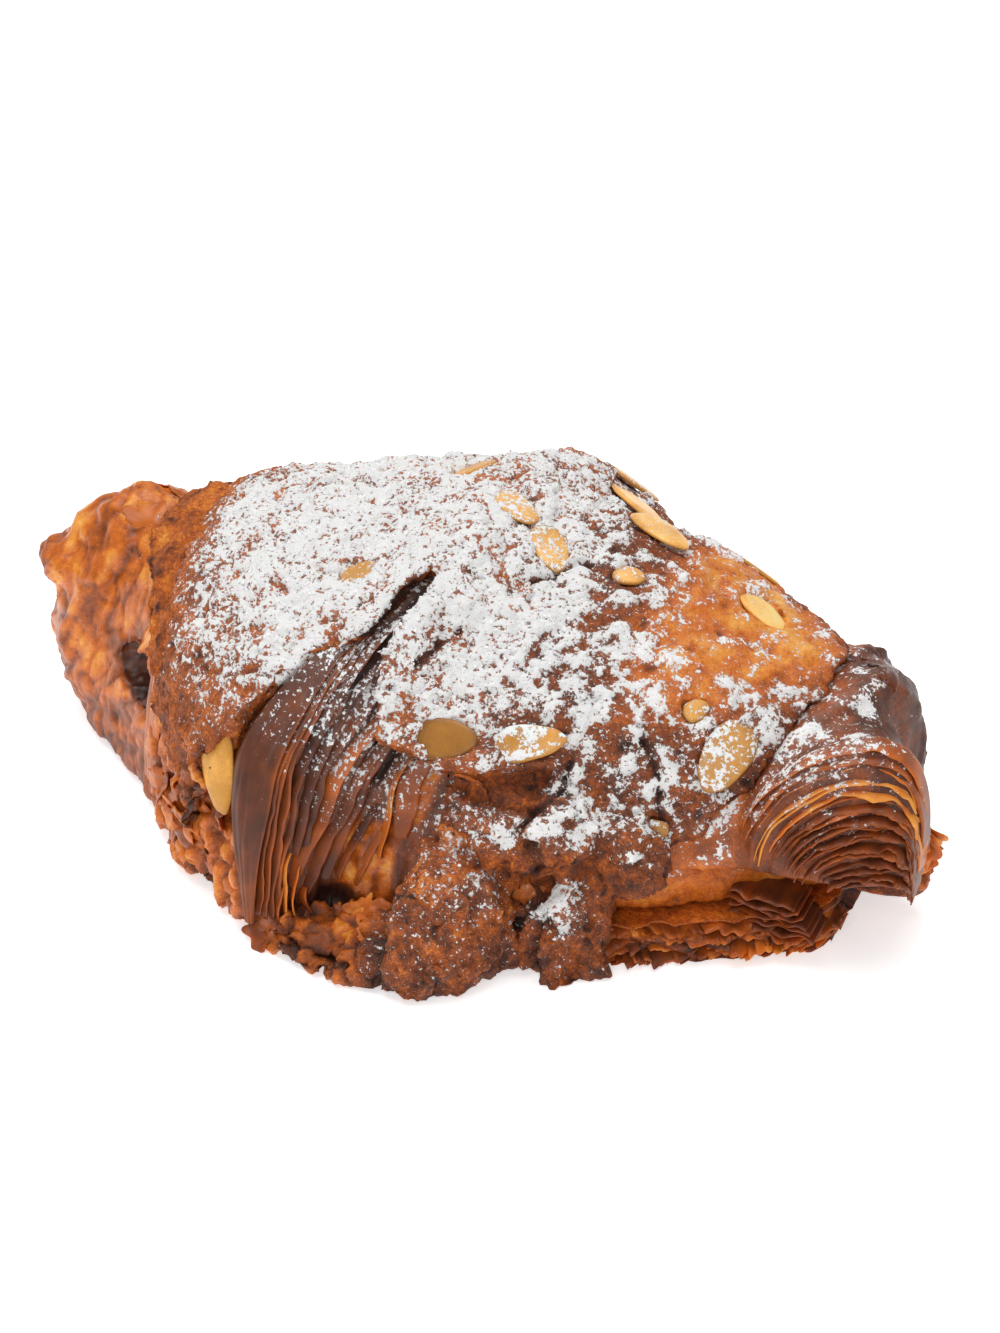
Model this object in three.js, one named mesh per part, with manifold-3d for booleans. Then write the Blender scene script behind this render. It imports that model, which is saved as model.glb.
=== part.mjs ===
// Almond croissant: a laminated croissant sliced through level, filled and topped with almond cream, and
// baked again. Millimetres, +Z up, long axis along X, front towards -Y. It rests on its flat underside.
import * as THREE from "three";
import { mergeVertices } from "three/addons/utils/BufferGeometryUtils.js";
import Module from "manifold-3d";

const wasm = await Module();
wasm.setup();

// Driving dimensions of the layers, from the floor up
const BASE_THICK = 7; // flaky lower half
const CREAM_THICK = 7.6; // almond cream between the halves
const CRUST_THICK = 3.6; // almond cream baked on top
const GAP = 0.3; // clearance kept between neighbouring pieces

// Outline of the upper half at stations along X: front edge, back edge, crest line and crest height
const PROFILE = [
  { x: -74, front: -2, back: 18, crest: 8, top: 29 },
  { x: -56, front: -17, back: 28, crest: 6, top: 42 },
  { x: -36, front: -39, back: 38, crest: 4, top: 48 },
  { x: -17, front: -48, back: 44, crest: 4, top: 51 },
  { x: 6, front: -47, back: 46, crest: 4, top: 54 },
  { x: 30, front: -39, back: 41, crest: 3, top: 48 },
  { x: 50, front: -30, back: 32, crest: 1, top: 40 },
  { x: 66, front: -21, back: 21, crest: -1, top: 33 },
  { x: 76, front: -14, back: 10, crest: -2, top: 20 },
];
const FOOT = 1.5; // height of the upper half's lower edge where it hangs to the floor
const ARCH_POWER = 0.86; // under 1 makes the arch fuller than an ellipse

// The wrap's edge that climbs the front: it leans left from the crest to the foot, in thin layers
const RIDGE_STATION = 4.5;
const RIDGE_LEAN = -23;
const RIDGE_LAYERS = 7;
const LAYER_STEP = 1.7; // width of each layer that shows
const LAYER_DROP = 1.2; // height from one layer to the next
const BAND_WIDTH = 11; // smooth band left of the layers
const BAND_PROUD = 3.4; // how far the band stands over its neighbours
const WRAP_PROUD = 0.9; // how far the middle wrap stands over the left lobe
const LEFT_EDGE_STATION = -47;

// Left lobe, the first wrap of the roll
const LOBE = { centre: [-64.4, 10, 17], radii: [19.2, 15, 27], yaw: 0.2 };
const LOBE_NUB = { centre: [-78.6, 5.5, 29.6], radii: [6.2, 6.5, 4.8], yaw: 0 };
const LOBE_CAVE = { centre: [-56, -14, 20.5], radii: [9, 5, 3.8], yaw: -0.85 };

// Horn: an arch that swings round an inner corner from the back of the body to the front, then nested layers
const HORN_CORNER = [53.5, -26];
const HORN_SWING = [
  { turn: 1.62, reach: 52, height: 34, foot: 15 },
  { turn: 1.3, reach: 47, height: 38.2, foot: 15 },
  { turn: 1.05, reach: 41.5, height: 39.8, foot: 15 },
  { turn: 0.95, reach: 39, height: 38.8, foot: 15 },
  { turn: 0.9, reach: 32.5, height: 36.5, foot: 15 },
  { turn: 0.72, reach: 30.5, height: 36, foot: 15 },
  { turn: 0.5, reach: 30, height: 37.5, foot: 15 },
  { turn: 0.3, reach: 29.5, height: 37.5, foot: 15 },
];
const HORN_SKEW = 0.32; // how far the arch's top sits towards its outer foot
const HORN_LAYERS = 7;
const HORN_LAYER_DEPTH = 0.9;
const HORN_END = { inner: [68, -26.5], outer: [81.6, -22.5], height: 20, foot: 16 };

// The level cut that parts the halves: it stops inside the front left, where the upper half hangs down
const CUT_OUTLINE = [
  [-50, 70], [110, 70], [110, -70], [36, -70], [31, -31], [16, -33], [-20, -31], [-42, -14], [-50, 4],
];

// Lower half: stacked ragged leaves of pastry
const BASE_TIERS = [
  { low: 0, high: 2.3, spread: 0.4 },
  { low: 2.5, high: 4.7, spread: 1.6 },
  { low: 4.9, high: BASE_THICK, spread: 0 },
];
const BASE_TIP = { centre: [70.5, -4.5, 8.4], radii: [12.2, 6, 6.6], yaw: -0.15 }; // its end behind the horn
const BASE_ENDS = [-45, 69];
const BASE_TEETH = 1.7;
const CREAM_ENDS = [-44, 68];

// Almond cream that ran down the front and set on the floor: how far it reaches and how high it stands
const APRON = [
  { x: -19, reach: -48, high: 3 },
  { x: -13, reach: -55.5, high: 6.5 },
  { x: -5, reach: -57.5, high: 7 },
  { x: 1, reach: -58.5, high: 8 },
  { x: 5, reach: -59, high: 13 },
  { x: 9, reach: -59.5, high: 20.5 },
  { x: 15, reach: -57.5, high: 20.5 },
  { x: 21, reach: -52, high: 16.5 },
  { x: 24, reach: -45, high: 12 },
  { x: 28, reach: -47.5, high: 17.5 },
  { x: 33, reach: -46, high: 18 },
  { x: 37, reach: -41, high: 12 },
];
const APRON_BACK = -33; // its hidden back, inside the pastry
const APRON_ROUND = 0.62; // under 1 makes its front fuller than an ellipse
const APRON_WAVES = { by: 1.3, length: 2.4, turns: 4 };
const LUMPS = [
  { centre: [19, -34.5, 22], radii: [17, 11, 10.5], yaw: -0.25 },
  { centre: [36, -33, 19], radii: [10, 7, 8], yaw: -0.4 },
];

// Where the crust ends on the front and the back slope, as angles round the arch from the front foot, and how
// thick its front edge is
const CRUST_EDGE = [
  { station: -58, front: 1.15, back: 2.2, edge: 1.4 },
  { station: -46, front: 0.52, back: 2.5, edge: 1.4 },
  { station: -30, front: 0.32, back: 2.62, edge: 1.3 },
  { station: -11, front: 0.28, back: 2.6, edge: 1.3 },
  { station: -5, front: 0.74, back: 2.6, edge: 1.6 },
  { station: 6, front: 0.9, back: 2.68, edge: 2.4 },
  { station: 15, front: 0.58, back: 2.7, edge: 5 },
  { station: 30, front: 0.5, back: 2.6, edge: 4.4 },
  { station: 40, front: 0.24, back: 2.55, edge: 1.6 },
  { station: 51, front: 0.42, back: 2.45, edge: 1.4 },
  { station: 62, front: 1.1, back: 2.1, edge: 1.4 },
];
const CRUST_EDGE_WIDTH = 0.3; // angle over which the crust thins out to its edge
const CRUST_WAVES = { by: 0.9, length: 5, turns: 9 }; // unevenness of its upper side
const CRACK = { from: 0.78, to: 1.26, width: 1.5, tip: 0.1, blunt: 0.12, depth: 3, over: 12 };

// Almond slices lying in the crust: place in plan, turn of the long axis, tilt, rise, length and width
const SLICES = [
  { at: [-27.3, -44.4], turn: -1.05, tilt: 0, rise: 0.1, length: 14.5, width: 7.4 },
  { at: [10, -37.5], turn: 0.1, tilt: 0, rise: 0, length: 10, width: 7 },
  { at: [22.5, -35], turn: 0.3, tilt: 0.1, rise: 0, length: 12, width: 6 },
  { at: [-12.7, -19.5], turn: 0.6, tilt: 0, rise: 0, length: 7, width: 5 },
  { at: [-5.5, 12], turn: 0.1, tilt: 0.1, rise: 0, length: 9, width: 5.5 },
  { at: [20, 21], turn: -0.5, tilt: 0, rise: 1.4, length: 12.5, width: 8 },
  { at: [28, 10.5], turn: -0.6, tilt: 0.06, rise: 0.8, length: 13.5, width: 7.5 },
  { at: [7.5, -1], turn: -0.4, tilt: 0, rise: 0.1, length: 8.5, width: 6.5 },
  { at: [15, -5.5], turn: -0.9, tilt: 0.05, rise: 0.1, length: 9.5, width: 6.5 },
  { at: [48, 5], turn: -0.4, tilt: 0, rise: 0, length: 10, width: 6.5 },
  { at: [44.7, -20.2], turn: 0.8, tilt: 0, rise: 0.1, length: 4.6, width: 3.6 },
  { at: [27.9, -4.4], turn: 0.3, tilt: 0, rise: 0, length: 5.4, width: 4.4 },
  { at: [50.5, -23], turn: -1.9, tilt: 0, rise: 0, length: 12.5, width: 8 },
  { at: [41.5, -34], turn: 0.5, tilt: 0, rise: 0, length: 6.5, width: 5 },
  { at: [-33, 20], turn: 0.7, tilt: 0, rise: 0, length: 13, width: 7.5 },
  { at: [-8, 33], turn: 2.2, tilt: 0, rise: 0.2, length: 14, width: 8 },
  { at: [15, 36], turn: 1.1, tilt: 0, rise: 0.1, length: 13, width: 7.5 },
  { at: [40, 24], turn: 0.2, tilt: 0, rise: 0.2, length: 12, width: 7 },
];
const SLICE_THICK = 1.1;
const SLICE_POINT = 0.3; // how much narrower the pointed end is
const SLICE_STEPS = 12;

// Unevenness and edges
const LAYER_CLIFF = 0.1; // share of a layer's width before its edge drops
const LAYER_EDGE = 0.15; // share of a layer's width taken by its edge
const LEAN_REACH = 70; // how far along the body the lean fades out
const BAND_RISE = 4; // width over which the band rises from the wrap
const VALLEY_WIDTH = 16; // width over which the valley right of the layers fills again
const PASTRY_WAVES = { by: 0.5, length: 6, turns: 5 };
const LOBE_WAVES = 0.06;
const LUMP_WAVES = 0.13;
const ROUND_WAVES = 0.05;
const FLOOR_CLEAR = 0.4; // the upper half and the crust stay clear of the floor by this
const RIM_FULL = 0.28; // under 1 makes the ends of the lower layers blunt
const RIM_WAVES = [9, 5]; // large teeth round the rim
const RIM_FINE = { teeth: 41, by: 0.6 }; // small teeth between them
const BASE_OUTSET = 2.6;
const BASE_FLARE = { from: 38, to: 70, by: 5.5 }; // how the lower half spreads at the front right
const CREAM_INSET = 1.4;
const CREAM_ROUND = 0.8;
const CREAM_BULGE = [0.3, 0.7]; // shares of its height between which the cream's rim is full
const CREAM_WAVES = 0.5;
const CRUST_RAGGED = { by: 0.06, frontLength: 2.2, backLength: 2.6 };
const SEED = { round: 1, pastry: 2, lobe: 3, apron: 4, crust: 5, crustFront: 7, cream: 8, crustBack: 9 };
const COLOURS = { base: 0x8a4a22, cream: 0xa5622e, top: 0x9a5426, crust: 0xb98a5c, slice: 0xe0aa58 };
const ROUGHNESS = 0.6;

// Fineness of the surfaces
const STATION_PITCH = 6.2;
const ARCH_STEPS = 26;
const HORN_STEPS = 18;
const LUMP_STEPS = [18, 12];
const RIM_STEPS = 96;
const CRUST_PITCH = 4.8;
const CRUST_ARCH_STEPS = 16;
const APRON_PITCH = 2.6;
const APRON_STEPS = 11;
const CRACK_STEPS = 8;
const SEAT_ROUNDS = 8;
const SEAT_STEP = { along: 1, round: 0.04 };
const STEEPEST = 0.98; // slices lie no further down the slope than this share of its reach
const MERGE = 1e-4;
const TINY = 1e-6;
const FAR = 200; // beyond every side of the whole

const { lerp, clamp, smoothstep } = THREE.MathUtils;

// Smooth curves through a table's columns
function curvesOf(table, position) {
  const names = Object.keys(table[0]).filter((name) => name !== position);
  const places = table.map((row) => row[position]);
  const values = table.flatMap((row) => names.map((name) => row[name]));
  const curve = new THREE.CubicInterpolant(places, values, names.length);
  return (at) => {
    const inside = clamp(at, places[0], places.at(-1));
    const found = curve.evaluate(inside);
    return Object.fromEntries(names.map((name, i) => [name, found[i]]));
  };
}
const outlineAt = curvesOf(PROFILE, "x");
const crustEdgeAt = curvesOf(CRUST_EDGE, "station");
const apronAt = curvesOf(APRON, "x");

// Gentle unevenness between -1 and 1, the same on every run
function uneven(a, b, seed) {
  return (
    0.5 * Math.sin(a + 1.7 * seed) * Math.cos(0.83 * b - seed) +
    0.3 * Math.sin(2.3 * a - 1.9 * b + seed) +
    0.2 * Math.cos(4.1 * a + 3.7 * b - 2.1 * seed)
  );
}

// Solids from three.js geometry, and back
function solidOf(geometry) {
  const bare = geometry.clone();
  for (const name of ["normal", "uv"]) bare.deleteAttribute(name);
  const merged = mergeVertices(bare, MERGE);
  return new wasm.Manifold(
    new wasm.Mesh({
      numProp: 3,
      vertProperties: new Float32Array(merged.attributes.position.array),
      triVerts: new Uint32Array(merged.index.array),
    }),
  );
}

function geometryOf(solid) {
  const mesh = solid.getMesh();
  const geometry = new THREE.BufferGeometry();
  geometry.setAttribute("position", new THREE.BufferAttribute(mesh.vertProperties, 3));
  geometry.setIndex(new THREE.BufferAttribute(mesh.triVerts, 1));
  geometry.computeVertexNormals();
  return geometry;
}

const unionOf = (solids) => solids.reduce((joined, solid) => joined.add(solid));
const largestOf = (solid) => solid.decompose().sort((a, b) => b.volume() - a.volume())[0];

// One body without the slivers that a cut leaves
const wholeOf = (solid) => largestOf(solidOf(geometryOf(largestOf(solid))));

// A closed solid through rings of points, with both ends capped
function loft(rings) {
  const count = rings[0].length;
  const middle = (ring) => ring.reduce((sum, p) => sum.add(p), new THREE.Vector3()).divideScalar(count);
  const points = [...rings.flat(), middle(rings[0]), middle(rings.at(-1))];
  const firstCap = points.length - 2;
  const lastCap = points.length - 1;
  const lastRing = (rings.length - 1) * count;
  const faces = [];
  for (let j = 0; j < count; j++) {
    const next = (j + 1) % count;
    for (let i = 0; i < rings.length - 1; i++) {
      const a = i * count;
      const b = a + count;
      faces.push(a + j, a + next, b + j, a + next, b + next, b + j);
    }
    faces.push(firstCap, next, j, lastCap, lastRing + j, lastRing + next);
  }
  const geometry = new THREE.BufferGeometry().setFromPoints(points);
  geometry.setIndex(faces);
  const solid = solidOf(geometry);
  if (solid.volume() > 0) return solid;
  geometry.setIndex(faces.toReversed());
  return solidOf(geometry);
}

// A lumpy ball, stretched and turned
function lump({ centre, radii, yaw }, grow = 0, waves = ROUND_WAVES, seed = SEED.round) {
  const geometry = new THREE.SphereGeometry(1, ...LUMP_STEPS).rotateX(Math.PI / 2);
  const position = geometry.attributes.position;
  for (let i = 0; i < position.count; i++) {
    const p = new THREE.Vector3().fromBufferAttribute(position, i);
    const swell = 1 + waves * uneven(3.1 * p.x + 2 * p.z, 3.3 * p.y - p.z, seed);
    position.setXYZ(
      i,
      p.x * (radii[0] * swell + grow),
      p.y * (radii[1] * swell + grow),
      p.z * (radii[2] * swell + grow),
    );
  }
  geometry.rotateZ(yaw).translate(...centre);
  return solidOf(geometry);
}

// How far a line across the body leans to the left at the front foot, most at the ridge
const leanAt = (station) => {
  const near = Math.max(0, 1 - Math.abs(station - RIDGE_STATION) / LEAN_REACH);
  return RIDGE_LEAN * near * near * (3 - 2 * near);
};

// How far the wraps stand proud of the outline: up to the band, then down layer by layer into a valley
function wrapStep(station, soft) {
  const past = station - RIDGE_STATION;
  if (station < LEFT_EDGE_STATION) return 0;
  const band = smoothstep(past, -BAND_WIDTH, BAND_RISE - BAND_WIDTH);
  if (past <= 0) return WRAP_PROUD + BAND_PROUD * band;
  const layer = soft ? past / LAYER_STEP : Math.ceil(past / LAYER_STEP - LAYER_CLIFF);
  const bottom = WRAP_PROUD + BAND_PROUD - Math.min(RIDGE_LAYERS, layer) * LAYER_DROP;
  const valleyEnd = RIDGE_LAYERS * LAYER_STEP;
  return bottom * clamp(1 - (past - valleyEnd) / VALLEY_WIDTH, 0, 1);
}

// A point of the upper half's skin. The angle runs from the front foot, over the crest, to the back foot.
function pastryPoint(station, angle, grow = 0, soft = false) {
  const across = Math.cos(angle);
  const x = station + leanAt(station) * across * Math.abs(across);
  const { front, back, crest, top } = outlineAt(x);
  const proud = wrapStep(station, soft) * Math.sqrt(Math.abs(across));
  const wave = uneven(station / PASTRY_WAVES.length, angle * PASTRY_WAVES.turns, SEED.pastry);
  const lift = grow + proud + PASTRY_WAVES.by * wave;
  const reach = (across > 0 ? crest - front : back - crest) + lift;
  const rise = (top - FOOT + lift) * Math.pow(Math.max(0, Math.sin(angle)), ARCH_POWER);
  return new THREE.Vector3(x, crest - reach * across, FOOT + rise);
}

// Stations along the body: even, with a pair at every cliff
function pastryStations() {
  const first = PROFILE[0].x + 1;
  const last = PROFILE.at(-1).x - 1;
  const cliff = LAYER_EDGE * LAYER_STEP;
  const stations = [LEFT_EDGE_STATION - cliff, LEFT_EDGE_STATION];
  for (let layer = 0; layer <= RIDGE_LAYERS; layer++) {
    const edge = RIDGE_STATION + layer * LAYER_STEP;
    stations.push(edge, edge + cliff);
  }
  const steps = Math.round((last - first) / STATION_PITCH);
  for (let i = 0; i <= steps; i++) {
    const station = first + ((last - first) * i) / steps;
    if (stations.every((other) => Math.abs(other - station) > STATION_PITCH / 4)) stations.push(station);
  }
  return stations.sort((a, b) => a - b);
}

function pastryBody(grow) {
  const rings = pastryStations().map((station) => {
    const ring = [];
    for (let j = 0; j <= ARCH_STEPS; j++) {
      ring.push(pastryPoint(station, (Math.PI * j) / ARCH_STEPS, grow));
    }
    return ring;
  });
  return loft(rings);
}

// One arch of the horn, between an inner and an outer foot
function hornArch({ inner, outer, height, foot }, grow) {
  const chord = new THREE.Vector2(outer[0] - inner[0], outer[1] - inner[1]);
  const half = chord.length() / 2;
  const way = chord.normalize();
  const ring = [];
  for (let j = 0; j <= HORN_STEPS; j++) {
    const angle = (Math.PI * j) / HORN_STEPS;
    const skew = HORN_SKEW * Math.sin(angle) ** 2;
    const along = half + (half + grow) * (skew - Math.cos(angle));
    const rise = Math.pow(Math.max(0, Math.sin(angle)), ARCH_POWER) * (height - foot + 2 * grow);
    ring.push(new THREE.Vector3(inner[0] + way.x * along, inner[1] + way.y * along, foot - grow + rise));
  }
  return ring;
}

function hornSolid(grow) {
  const swing = HORN_SWING.map(({ turn, reach, height, foot }) => ({
    inner: HORN_CORNER,
    outer: [HORN_CORNER[0] + reach * Math.cos(turn), HORN_CORNER[1] + reach * Math.sin(turn)],
    height,
    foot,
  }));
  const mouth = swing.at(-1);
  const between = (a, b, share, forward) => [lerp(a[0], b[0], share), lerp(a[1], b[1], share) - forward];
  const nested = (share, forward) => ({
    inner: between(mouth.inner, HORN_END.inner, share, forward),
    outer: between(mouth.outer, HORN_END.outer, share, forward),
    height: lerp(mouth.height, HORN_END.height, share),
    foot: lerp(mouth.foot, HORN_END.foot, share),
  });
  for (let layer = 1; layer <= HORN_LAYERS; layer++) {
    const share = layer / HORN_LAYERS;
    swing.push(nested(share, 0), nested(share, HORN_LAYER_DEPTH));
  }
  return loft(swing.map((arch) => hornArch(arch, grow)));
}

// A slab with an outline in plan
function slab(points, low, high) {
  const shape = new THREE.Shape(points.map(([x, y]) => new THREE.Vector2(x, y)));
  const geometry = new THREE.ExtrudeGeometry(shape, { depth: high - low, bevelEnabled: false });
  return solidOf(geometry.translate(0, 0, low));
}

const CUT_HEIGHT = BASE_THICK + GAP + CREAM_THICK + GAP;
const cut = slab(CUT_OUTLINE, -FAR, CUT_HEIGHT);
const cutInside = cut.translate(GAP, GAP, 0);
const underFloor = slab([[-FAR, -FAR], [FAR, -FAR], [FAR, FAR], [-FAR, FAR]], -FAR, FLOOR_CLEAR);

// Upper half of the pastry: the body over the cut, the left lobe and the horn
function upperHalf(grow) {
  const body = pastryBody(grow).subtract(cut);
  const lobe = unionOf([lump(LOBE, grow, LOBE_WAVES, SEED.lobe), lump(LOBE_NUB, grow)]);
  const cave = lump(LOBE_CAVE, -grow);
  return unionOf([body, lobe, hornSolid(grow)]).subtract(cave).subtract(underFloor);
}

// Ragged outlines of the layers under the cut
function rimPoints(ends, outset, teeth, seed, flare = 0) {
  const points = [];
  for (let i = 0; i < RIM_STEPS; i++) {
    const round = (2 * Math.PI * i) / RIM_STEPS;
    const x = lerp(ends[0], ends[1], 0.5 - 0.5 * Math.cos(round));
    const { front, back, crest } = outlineAt(x);
    const large = uneven(RIM_WAVES[0] * round, RIM_WAVES[1] * round, seed);
    const fine = RIM_FINE.by * Math.sin(RIM_FINE.teeth * round + seed);
    const ragged = teeth * (large + fine);
    const full = Math.pow(Math.abs(Math.sin(round)), RIM_FULL);
    const spread = flare * smoothstep(x, BASE_FLARE.from, BASE_FLARE.to);
    const y = Math.sin(round) > 0 ? front - outset - spread - ragged : back + outset + ragged;
    points.push([x, crest + (y - crest) * full]);
  }
  return points;
}

const levelRing = (points, z) => points.map(([x, y]) => new THREE.Vector3(x, y, z));

// Lower half: tiers of leaves, and the end that shows behind the horn
function lowerHalf() {
  const rings = BASE_TIERS.flatMap(({ low, high, spread }, tier) => {
    const points = rimPoints(BASE_ENDS, BASE_OUTSET + spread, BASE_TEETH, tier + 2, BASE_FLARE.by);
    return [levelRing(points, low), levelRing(points, high)];
  });
  return loft(rings).intersect(cutInside).add(lump(BASE_TIP));
}

// Almond cream between the halves, with a rounded rim
function creamLayer(grow) {
  const low = BASE_THICK + GAP - grow;
  const high = BASE_THICK + GAP + CREAM_THICK + grow;
  const levels = [[0, -CREAM_ROUND], [CREAM_BULGE[0], 0], [CREAM_BULGE[1], 0], [1, -CREAM_ROUND]];
  const rings = levels.map(([share, outset]) => {
    const points = rimPoints(CREAM_ENDS, outset - CREAM_INSET + grow, CREAM_WAVES, SEED.cream);
    return levelRing(points, lerp(low, high, share));
  });
  return loft(rings);
}

// Thickness of the crust: thin at the back edge, as stated at the front edge, uneven between
function crustThick(station, angle) {
  const { front, back, edge } = crustEdgeAt(station);
  const fromFront = smoothstep(angle - front, 0, CRUST_EDGE_WIDTH);
  const fromBack = smoothstep(back - angle, 0, CRUST_EDGE_WIDTH);
  const wave = uneven(station / CRUST_WAVES.length, angle * CRUST_WAVES.turns, SEED.crust);
  const thick = lerp(edge, CRUST_THICK, fromFront);
  return CRUST_WAVES.by * wave * fromFront * fromBack + lerp(CRUST_EDGE[0].edge, thick, fromBack);
}

const crustPoint = (station, angle) =>
  pastryPoint(station, angle, GAP + crustThick(station, angle), true);

// The crust: a shell over the upper half between ragged edges
function crustShell() {
  const rings = [];
  const first = CRUST_EDGE[0].station;
  const last = CRUST_EDGE.at(-1).station;
  const steps = Math.round((last - first) / CRUST_PITCH);
  for (let i = 0; i <= steps; i++) {
    const station = first + ((last - first) * i) / steps;
    const edge = crustEdgeAt(station);
    const raggedFront = uneven(station / CRUST_RAGGED.frontLength, 0, SEED.crustFront);
    const raggedBack = uneven(station / CRUST_RAGGED.backLength, 1, SEED.crustBack);
    const front = edge.front + CRUST_RAGGED.by * raggedFront;
    const back = edge.back + CRUST_RAGGED.by * raggedBack;
    const outer = [];
    const inner = [];
    for (let j = 0; j <= CRUST_ARCH_STEPS; j++) {
      const angle = lerp(front, back, j / CRUST_ARCH_STEPS);
      outer.push(crustPoint(station, angle));
      inner.unshift(pastryPoint(station, angle, -CRUST_THICK, true));
    }
    rings.push([...outer, ...inner]);
  }
  return loft(rings);
}

// What ran down the front, as a low wall of lumps
function frontApron() {
  const rings = [];
  const first = APRON[0].x;
  const last = APRON.at(-1).x;
  const steps = Math.round((last - first) / APRON_PITCH);
  for (let i = 0; i <= steps; i++) {
    const x = first + ((last - first) * i) / steps;
    const { reach, high } = apronAt(x);
    const ring = [new THREE.Vector3(x, APRON_BACK, 0)];
    for (let j = 0; j <= APRON_STEPS; j++) {
      const angle = (Math.PI / 2) * (j / APRON_STEPS);
      const uneasy = uneven(x / APRON_WAVES.length, angle * APRON_WAVES.turns, SEED.apron);
      const wave = APRON_WAVES.by * uneasy * Math.sin(2 * angle);
      const deep = (APRON_BACK - reach + wave) * Math.pow(Math.cos(angle) + TINY, APRON_ROUND);
      const tall = (high + wave) * Math.pow(Math.sin(angle), APRON_ROUND);
      ring.push(new THREE.Vector3(x, APRON_BACK - deep, tall));
    }
    rings.push(ring);
  }
  return loft(rings);
}

// The crack along the ridge, where the crust parts
function crustCrack() {
  const rings = [];
  for (let i = 0; i <= CRACK_STEPS; i++) {
    const share = i / CRACK_STEPS;
    const angle = lerp(CRACK.from, CRACK.to, share);
    const half = CRACK.tip + CRACK.width * Math.sin(Math.PI * Math.min(1, share + CRACK.blunt));
    const corners = [[-half, -CRACK.depth], [half, -CRACK.depth], [half, CRACK.over], [-half, CRACK.over]];
    rings.push(corners.map(([side, lift]) => pastryPoint(RIDGE_STATION + side, angle, lift, true)));
  }
  return loft(rings);
}

// Where a place in plan lies on the crust
function seatAt([x, y]) {
  const { front, back, crest } = outlineAt(x);
  const reach = y < crest ? crest - front : back - crest;
  let station = x;
  let across = 0;
  for (let round = 0; round < SEAT_ROUNDS; round++) {
    const lift = CRUST_THICK + wrapStep(station, true) * Math.sqrt(Math.abs(across));
    across = clamp((crest - y) / (reach + lift), -STEEPEST, STEEPEST);
    station = x - leanAt(station) * across * Math.abs(across);
  }
  return { station, angle: Math.acos(across) };
}

// An almond slice, pointed at one end, lying on the crust
function almondSlice({ at, turn, tilt, rise, length, width }, grow = 0) {
  const outline = [];
  for (let i = 0; i < SLICE_STEPS; i++) {
    const round = (2 * Math.PI * i) / SLICE_STEPS;
    const narrow = 1 - SLICE_POINT * Math.cos(round);
    outline.push([(length / 2 + grow) * Math.cos(round), (width / 2 + grow) * Math.sin(round) * narrow]);
  }
  const { station, angle } = seatAt(at);
  const point = crustPoint(station, angle);
  const skin = (step, swing) => pastryPoint(station + step, angle + swing, 0, true);
  const along = skin(SEAT_STEP.along, 0).sub(skin(-SEAT_STEP.along, 0)).normalize();
  const round = skin(0, SEAT_STEP.round).sub(skin(0, -SEAT_STEP.round)).normalize();
  const normal = along.clone().cross(round).normalize();
  const side = normal.clone().cross(along);
  const pose = new THREE.Matrix4().makeBasis(along, side, normal);
  pose.setPosition(point.addScaledVector(normal, rise));
  const shape = new THREE.Shape(outline.map(([x, y]) => new THREE.Vector2(x, y)));
  const thick = SLICE_THICK + 2 * grow;
  const geometry = new THREE.ExtrudeGeometry(shape, { depth: thick, bevelEnabled: false });
  geometry.translate(0, 0, -thick / 2).rotateY(-tilt).rotateZ(turn);
  return solidOf(geometry.applyMatrix4(pose));
}

// The pieces, each clear of its neighbours
const slicesClear = unionOf(SLICES.map((slice) => almondSlice(slice, GAP)));
const upper = upperHalf(0).subtract(slicesClear);
const upperClear = upperHalf(GAP);
const cream = creamLayer(0).intersect(cutInside).subtract(hornSolid(GAP)).subtract(lump(BASE_TIP, GAP));
const base = lowerHalf().subtract(upperClear);
const baseClear = unionOf([-GAP, GAP].flatMap((d) => [base.translate(d, 0, 0), base.translate(0, d, 0)]));
const lumps = LUMPS.map((place, i) => lump(place, 0, LUMP_WAVES, i + 1));
const crust = unionOf([crustShell(), frontApron(), ...lumps])
  .subtract(upperClear)
  .subtract(creamLayer(GAP))
  .subtract(baseClear)
  .subtract(crustCrack())
  .subtract(underFloor)
  .subtract(slicesClear);

const group = new THREE.Group();
function addNode(name, solid, color) {
  const material = new THREE.MeshStandardMaterial({ color, roughness: ROUGHNESS, metalness: 0 });
  const mesh = new THREE.Mesh(geometryOf(wholeOf(solid)), material);
  mesh.name = name;
  group.add(mesh);
}
addNode("croissant_base", base, COLOURS.base);
addNode("almond_cream", cream, COLOURS.cream);
addNode("croissant_top", upper, COLOURS.top);
addNode("almond_crust", crust, COLOURS.crust);
SLICES.forEach((slice, i) => {
  addNode(`almond_slice_${String(i + 1).padStart(2, "0")}`, almondSlice(slice), COLOURS.slice);
});

// The frame's origin lies under the middle of the whole, at floor level
const whole = new THREE.Box3().setFromObject(group);
const middle = whole.getCenter(new THREE.Vector3());
for (const mesh of group.children) mesh.geometry.translate(-middle.x, -middle.y, -whole.min.z);

export default group;
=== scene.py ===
"""Almond croissant: crust, layers, almonds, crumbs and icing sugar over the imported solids."""

import math
from itertools import product
from types import SimpleNamespace

import bmesh
import bpy
import numpy as np
from bpy.props import FloatProperty, FloatVectorProperty, IntProperty, PointerProperty
from bpy.types import Operator, Panel, PropertyGroup
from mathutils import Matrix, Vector
from mathutils.bvhtree import BVHTree


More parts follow.
